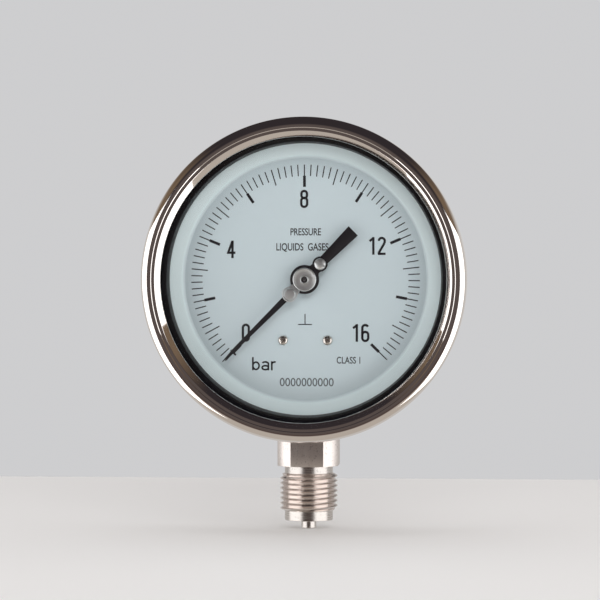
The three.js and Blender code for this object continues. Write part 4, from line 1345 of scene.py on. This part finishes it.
@dataclass
class Socket:
    """Connection: wrench square, neck, thread, plain end and spigot."""

    finishes: Finishes
    bottom: float = span("socket", 2)[0]
    square_half: float = span("socket", 0)[1]
    corner_radius: float = 12.5
    square_bottom: float = 20.0
    flats_top: float = span("socket_weld_collar", 2)[0] - 0.3
    shank_half: float = 10.5
    shank_corner: float = 12.0
    square_top: float = 36.9
    neck_radius: float = 8.75
    spigot_radius: float = 2.7
    bore_radius: float = 1.5
    thread_bottom: float = 3.4
    thread_top: float = 17.2
    pitch: float = 1.814
    major_radius: float = 10.4775
    depth: float = 1.162
    lead_share: float = 0.4
    steps_per_turn: int = 72
    block_front: float = -4.0
    overlap: float = 0.05

    def build(self) -> None:
        """Makes the pieces of the connection."""
        self.wrench_square()
        self.inner_block()
        self.neck()
        self.thread()
        self.plain_end()

    def wrench_square(self) -> None:
        """Makes the square, turned under a shallow chamfer."""
        solid = square_bar(self.square_half, self.corner_radius, self.square_bottom, self.flats_top)
        soften(solid, 0.12, sharper_than=25.0)
        add_piece("socket_square", solid, self.finishes.ground, replaces=["socket"],
                  smooth_below=24.0)
        shank = square_bar(self.shank_half, self.shank_corner, self.flats_top - 0.5, self.square_top)
        add_piece("socket_shank", shank, self.finishes.turned, smooth_below=24.0)

    def inner_block(self) -> None:
        """Makes the block inside the case, which carries the tube and the movement."""
        back, top = span("socket", 1)[1], span("socket", 2)[1]
        bm = bmesh.new()
        bmesh.ops.create_cube(bm, size=1.0)
        size = Vector((2 * self.square_half, back - self.block_front, top - self.square_top)) * MM
        place = Vector((0.0, (self.block_front + back) / 2, (top + self.square_top) / 2)) * MM
        bmesh.ops.scale(bm, vec=size, verts=bm.verts[:])
        bmesh.ops.translate(bm, vec=place, verts=bm.verts[:])
        soften(bm, 0.4)
        add_piece("socket_inner_block", bm, self.finishes.inner)

    def neck(self) -> None:
        """Makes the plain neck over the thread."""
        low, high, flare = self.thread_top - self.overlap, self.square_bottom, 0.35
        profile = [(0.0, low), (self.neck_radius, low), (self.neck_radius, high - flare),
                   (self.neck_radius + flare, high), (self.neck_radius + flare, high + 0.1),
                   (0.0, high + 0.1)]
        bm = spun(profile, Turning.STEM, steps=SMALL_STEPS)
        add_piece("socket_neck", bm, self.finishes.turned)

    def envelope(self, z: float) -> float:
        """Largest radius of the thread at a height, with a chamfer at both ends.

        Args:
            z: Height on the stem.

        Returns:
            The radius.
        """
        rise = min(z - self.thread_bottom, self.thread_top - z) / (self.lead_share * self.pitch)
        return self.neck_radius + (self.major_radius - self.neck_radius) * min(1.0, max(0.0, rise))

    def thread(self) -> None:
        """Winds the thread: one tooth's section is spun up the stem as a right-hand helix."""
        bm = bmesh.new()
        root = self.major_radius - self.depth
        turns = math.ceil((self.thread_top - self.thread_bottom) / self.pitch) + 2
        section = [(root, 0.0), (root + 0.06, 0.10), (root + 0.2, 0.19), (self.major_radius - 0.2, 0.68),
                   (self.major_radius - 0.05, 0.79), (self.major_radius, self.pitch / 2)]
        tooth = section + [(r, self.pitch - z) for r, z in reversed(section[:-1])]
        low = self.thread_bottom - 1.5 * self.pitch
        verts = [bm.verts.new(Vector((r, 0.0, low + z)) * MM) for r, z in tooth]
        edges = [bm.edges.new(pair) for pair in zip(verts, verts[1:])]
        bmesh.ops.spin(bm, geom=verts + edges, cent=(0, 0, 0), axis=Turning.STEM.value,
                       dvec=(0.0, 0.0, self.pitch / self.steps_per_turn * MM), angle=FULL_TURN * turns,
                       steps=turns * self.steps_per_turn, use_duplicate=False)
        bmesh.ops.remove_doubles(bm, verts=bm.verts[:], dist=0.001 * MM)
        for height, normal in ((self.thread_bottom, (0, 0, -1)), (self.thread_top, (0, 0, 1))):
            bmesh.ops.bisect_plane(bm, geom=bm.verts[:] + bm.edges[:] + bm.faces[:],
                                   plane_co=(0.0, 0.0, height * MM), plane_no=normal, clear_outer=True)
        for vert in bm.verts:
            radius = math.hypot(vert.co.x, vert.co.y)
            limit = self.envelope(vert.co.z / MM) * MM
            if radius > limit:
                vert.co.x *= limit / radius
                vert.co.y *= limit / radius
        bmesh.ops.holes_fill(bm, edges=[e for e in bm.edges if e.is_boundary], sides=0)
        tidy(bm)
        add_piece("socket_thread", bm, self.finishes.thread, smooth_below=40.0)

    def plain_end(self) -> None:
        """Makes the plain end with its sealing face, spigot and bore."""
        seal = span("socket", 2)[0] + 3.0
        profile = [
            (self.bore_radius, self.bottom + 0.3), (self.bore_radius + 0.3, self.bottom),
            (self.spigot_radius - 0.25, self.bottom), (self.spigot_radius, self.bottom + 0.25),
            (self.spigot_radius, seal), (self.neck_radius - 0.12, seal), (self.neck_radius, seal + 0.12),
            (self.neck_radius, self.thread_bottom + self.overlap),
            (self.bore_radius, self.thread_bottom + self.overlap),
        ]
        bm = spun(profile, Turning.STEM, steps=SMALL_STEPS, closed=True)
        add_piece("socket_plain_end", bm, self.finishes.turned)


# ---------------------------------------------------------------------------
# Movement
# ---------------------------------------------------------------------------
@dataclass
class Movement:
    """Pieces behind the dial, which keep their CAD shapes and get their finishes."""

    finishes: Finishes
    hardened: tuple[str, ...] = ("sector_arbor", "hairspring")
    bright: tuple[str, ...] = ("link_pin_tip", "link_pin_sector", "hairspring_collet", "hairspring_stud")
    bright_starts: tuple[str, ...] = ("plate_screw", "movement_screw", "pinion_bush", "sector_bush")

    def build(self) -> None:
        """Dresses every CAD node that is still shown."""
        shown = [name for name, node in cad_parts.items()
                 if not node.hide_render and name != "pinion_shaft"]
        bright = [name for name in shown if name in self.bright or name.startswith(self.bright_starts)]
        hardened = [name for name in shown if name in self.hardened]
        dress(hardened, self.finishes.spring)
        dress(bright, self.finishes.screw)
        dress([name for name in shown if name not in bright and name not in hardened], self.finishes.inner)


# ---------------------------------------------------------------------------
# Studio
# ---------------------------------------------------------------------------
@dataclass
class Studio:
    """Pale floor, a tall soft light on each side, a fill light over the camera, and the camera."""

    floor_back: float = 225.0
    floor_front: float = -900.0
    floor_half: float = 330.0
    camera_place: tuple[float, float, float] = (84.0, -1233.0, 115.0)
    yaw: float = 4.047
    pitch: float = -1.62
    lens: float = 203.8
    fill_place: tuple[float, float, float] = (250.0, -1500.0, 900.0)
    fill_size: Point = (900.0, 700.0)
    fill_power: float = 10.0
    top_place: tuple[float, float, float] = (0.0, 200.0, 1500.0)
    top_size: Point = (2400.0, 2000.0)
    top_power: float = 19.0
    panel_distance: float = 900.0
    panel_angles: Point = (31.0, 100.0)
    panel_heights: Point = (-650.0, 330.0)
    panel_strength: float = 1.75
    paper: Colour = (0.66, 0.65, 0.645)
    paper_glow: Colour = (1.0, 0.985, 0.975)
    glow_strength: float = 0.19
    backdrop: Colour = (0.615, 0.615, 0.625)

    def build(self) -> None:
        """Makes the studio."""
        floor = self.floor()
        self.world()
        self.side_panel("left_softbox", -1)
        self.side_panel("right_softbox", 1)
        fill = self.lamp("fill_light", self.fill_place, self.fill_size, self.fill_power)
        fill.visible_glossy = False
        top = self.lamp("floor_light", self.top_place, self.top_size, self.top_power)
        top.visible_glossy = False
        lit = bpy.data.collections.new("lit_by_floor_light")
        lit.objects.link(floor)
        top.light_linking.receiver_collection = lit
        self.camera()
        bpy.context.scene.view_settings.view_transform = "Standard"

    def floor(self) -> bpy.types.Object:
        """Makes the floor that the spigot stands on and that the polished pieces don't mirror."""
        bm = bmesh.new()
        bmesh.ops.create_grid(bm, x_segments=1, y_segments=1, size=1.0)
        depth = (self.floor_back - self.floor_front) / 2
        bmesh.ops.scale(bm, vec=(self.floor_half * MM, depth * MM, 1.0), verts=bm.verts[:])
        below_spigot = CAD_BOX[0][2] - 0.1 * MM
        bmesh.ops.translate(bm, vec=(0.0, (self.floor_back - depth) * MM, below_spigot), verts=bm.verts[:])
        floor = linked_object("studio_floor", bm)
        material, _, shader = node_material("studio_floor_paper")
        shader.inputs["Base Color"].default_value = (*self.paper, 1.0)
        shader.inputs["Roughness"].default_value = 0.6
        shader.inputs["Emission Color"].default_value = (*self.paper_glow, 1.0)
        shader.inputs["Emission Strength"].default_value = self.glow_strength
        floor.data.materials.append(material)
        floor.visible_glossy = False
        return floor

    def world(self) -> None:
        """Sets a pale backdrop for the eye, and for reflections a dim room that is pale low down behind."""
        world = bpy.data.worlds.new("studio")
        bpy.context.scene.world = world
        world.use_nodes = True
        nodes = Nodes(world.node_tree)
        parts = nodes.node("SeparateXYZ", {"Vector": nodes.node("TexCoord").outputs["Generated"]}).outputs
        across, deep, high = parts["X"], parts["Y"], parts["Z"]
        front, ceiling, side_glow = (0.105, 0.085, 0.080), (0.034, 0.028, 0.031), (0.19, 0.135, 0.09)
        skirting, near_floor, behind_low = (0.07, 0.04, 0.034), (0.52, 0.47, 0.42), (0.62, 0.60, 0.58)
        colour = nodes.mixed(nodes.ranged(high, 0.0, 1.0, 0.06, 0.3), front, ceiling)
        aside = nodes.ranged(nodes.product(across, across), 0.0, 1.0, 0.2, 0.5)
        warm = nodes.product(nodes.ranged(high, 1.0, 0.0, 0.5, 0.78), nodes.ranged(high, 0.0, 1.0, 0.08, 0.3))
        colour = nodes.mixed(nodes.product(aside, warm), colour, side_glow)
        colour = nodes.mixed(nodes.ranged(high, 1.0, 0.0, -0.26, -0.10), colour, skirting)
        colour = nodes.mixed(nodes.ranged(high, 1.0, 0.0, -0.46, -0.28), colour, near_floor)
        behind = nodes.product(nodes.ranged(high, 1.0, 0.0, 0.2, 0.5),
                               nodes.ranged(deep, 0.0, 1.0, 0.05, 0.3))
        room = world.node_tree.nodes["Background"]
        nodes.feed(room, {"Color": nodes.mixed(behind, colour, behind_low)})
        seen = nodes.node("Background", {"Color": (*self.backdrop, 1.0)}).outputs["Background"]
        from_camera = nodes.node("LightPath").outputs["Is Camera Ray"]
        mix = nodes.node("MixShader", {"Fac": from_camera, 1: room.outputs["Background"], 2: seen})
        nodes.feed(world.node_tree.nodes["World Output"], {"Surface": mix.outputs["Shader"]})

    def side_panel(self, name: str, side: int) -> None:
        """Makes one tall softbox that stands beside the gauge and spans the panel angles.

        Args:
            name: Name of the light.
            side: -1 for the left or 1 for the right.
        """
        angles = [math.radians(a) for a in self.panel_angles]
        ends = [Vector((side * math.sin(a), -math.cos(a), 0.0)) * self.panel_distance for a in angles]
        centre = (ends[0] + ends[1]) / 2
        low, high = self.panel_heights
        size = ((ends[1] - ends[0]).length, high - low)
        power = self.panel_strength * math.pi * size[0] * size[1] * MM * MM
        self.lamp(name, (centre.x, centre.y, (low + high) / 2), size, power, level=True)

    def lamp(self, name: str, place: tuple[float, float, float], size: Point, power: float,
             level: bool = False) -> bpy.types.Object:
        """Makes one rectangular soft light that looks at the gauge.

        Args:
            name: Name of the light.
            place: Its centre, in millimetres.
            size: Its width and height.
            power: Its power in watts.
            level: True if it stands upright.

        Returns:
            The light's object.
        """
        light = bpy.data.lights.new(name, "AREA")
        light.shape = "RECTANGLE"
        light.size, light.size_y = size[0] * MM, size[1] * MM
        light.energy = power
        obj = bpy.data.objects.new(name, light)
        obj.location = Vector(place) * MM
        target = Vector((0.0, 0.0, place[2] if level else CENTRE_Z)) * MM
        obj.rotation_euler = (target - obj.location).to_track_quat("-Z", "Y").to_euler()
        bpy.context.scene.collection.objects.link(obj)
        return obj

    def camera(self) -> None:
        """Makes the camera, a little right of the gauge and looking back at it."""
        data = bpy.data.cameras.new("camera")
        data.lens = self.lens
        data.sensor_width = 36.0
        obj = bpy.data.objects.new("camera", data)
        obj.location = Vector(self.camera_place) * MM
        yaw, pitch = math.radians(self.yaw), math.radians(self.pitch)
        view = Vector((-math.sin(yaw) * math.cos(pitch), math.cos(yaw) * math.cos(pitch), math.sin(pitch)))
        obj.rotation_euler = view.to_track_quat("-Z", "Y").to_euler()
        bpy.context.scene.collection.objects.link(obj)
        bpy.context.scene.camera = obj


def main() -> None:
    """Builds the gauge, dresses what stays of the CAD model and sets the studio."""
    finishes = Finishes()
    for assembly in (Bezel, Case, Window, Dial, Pointer, Socket, Movement):
        log.info("building %s", assembly.__name__)
        assembly(finishes).build()
    Studio().build()


if __name__ == "__main__":
    main()
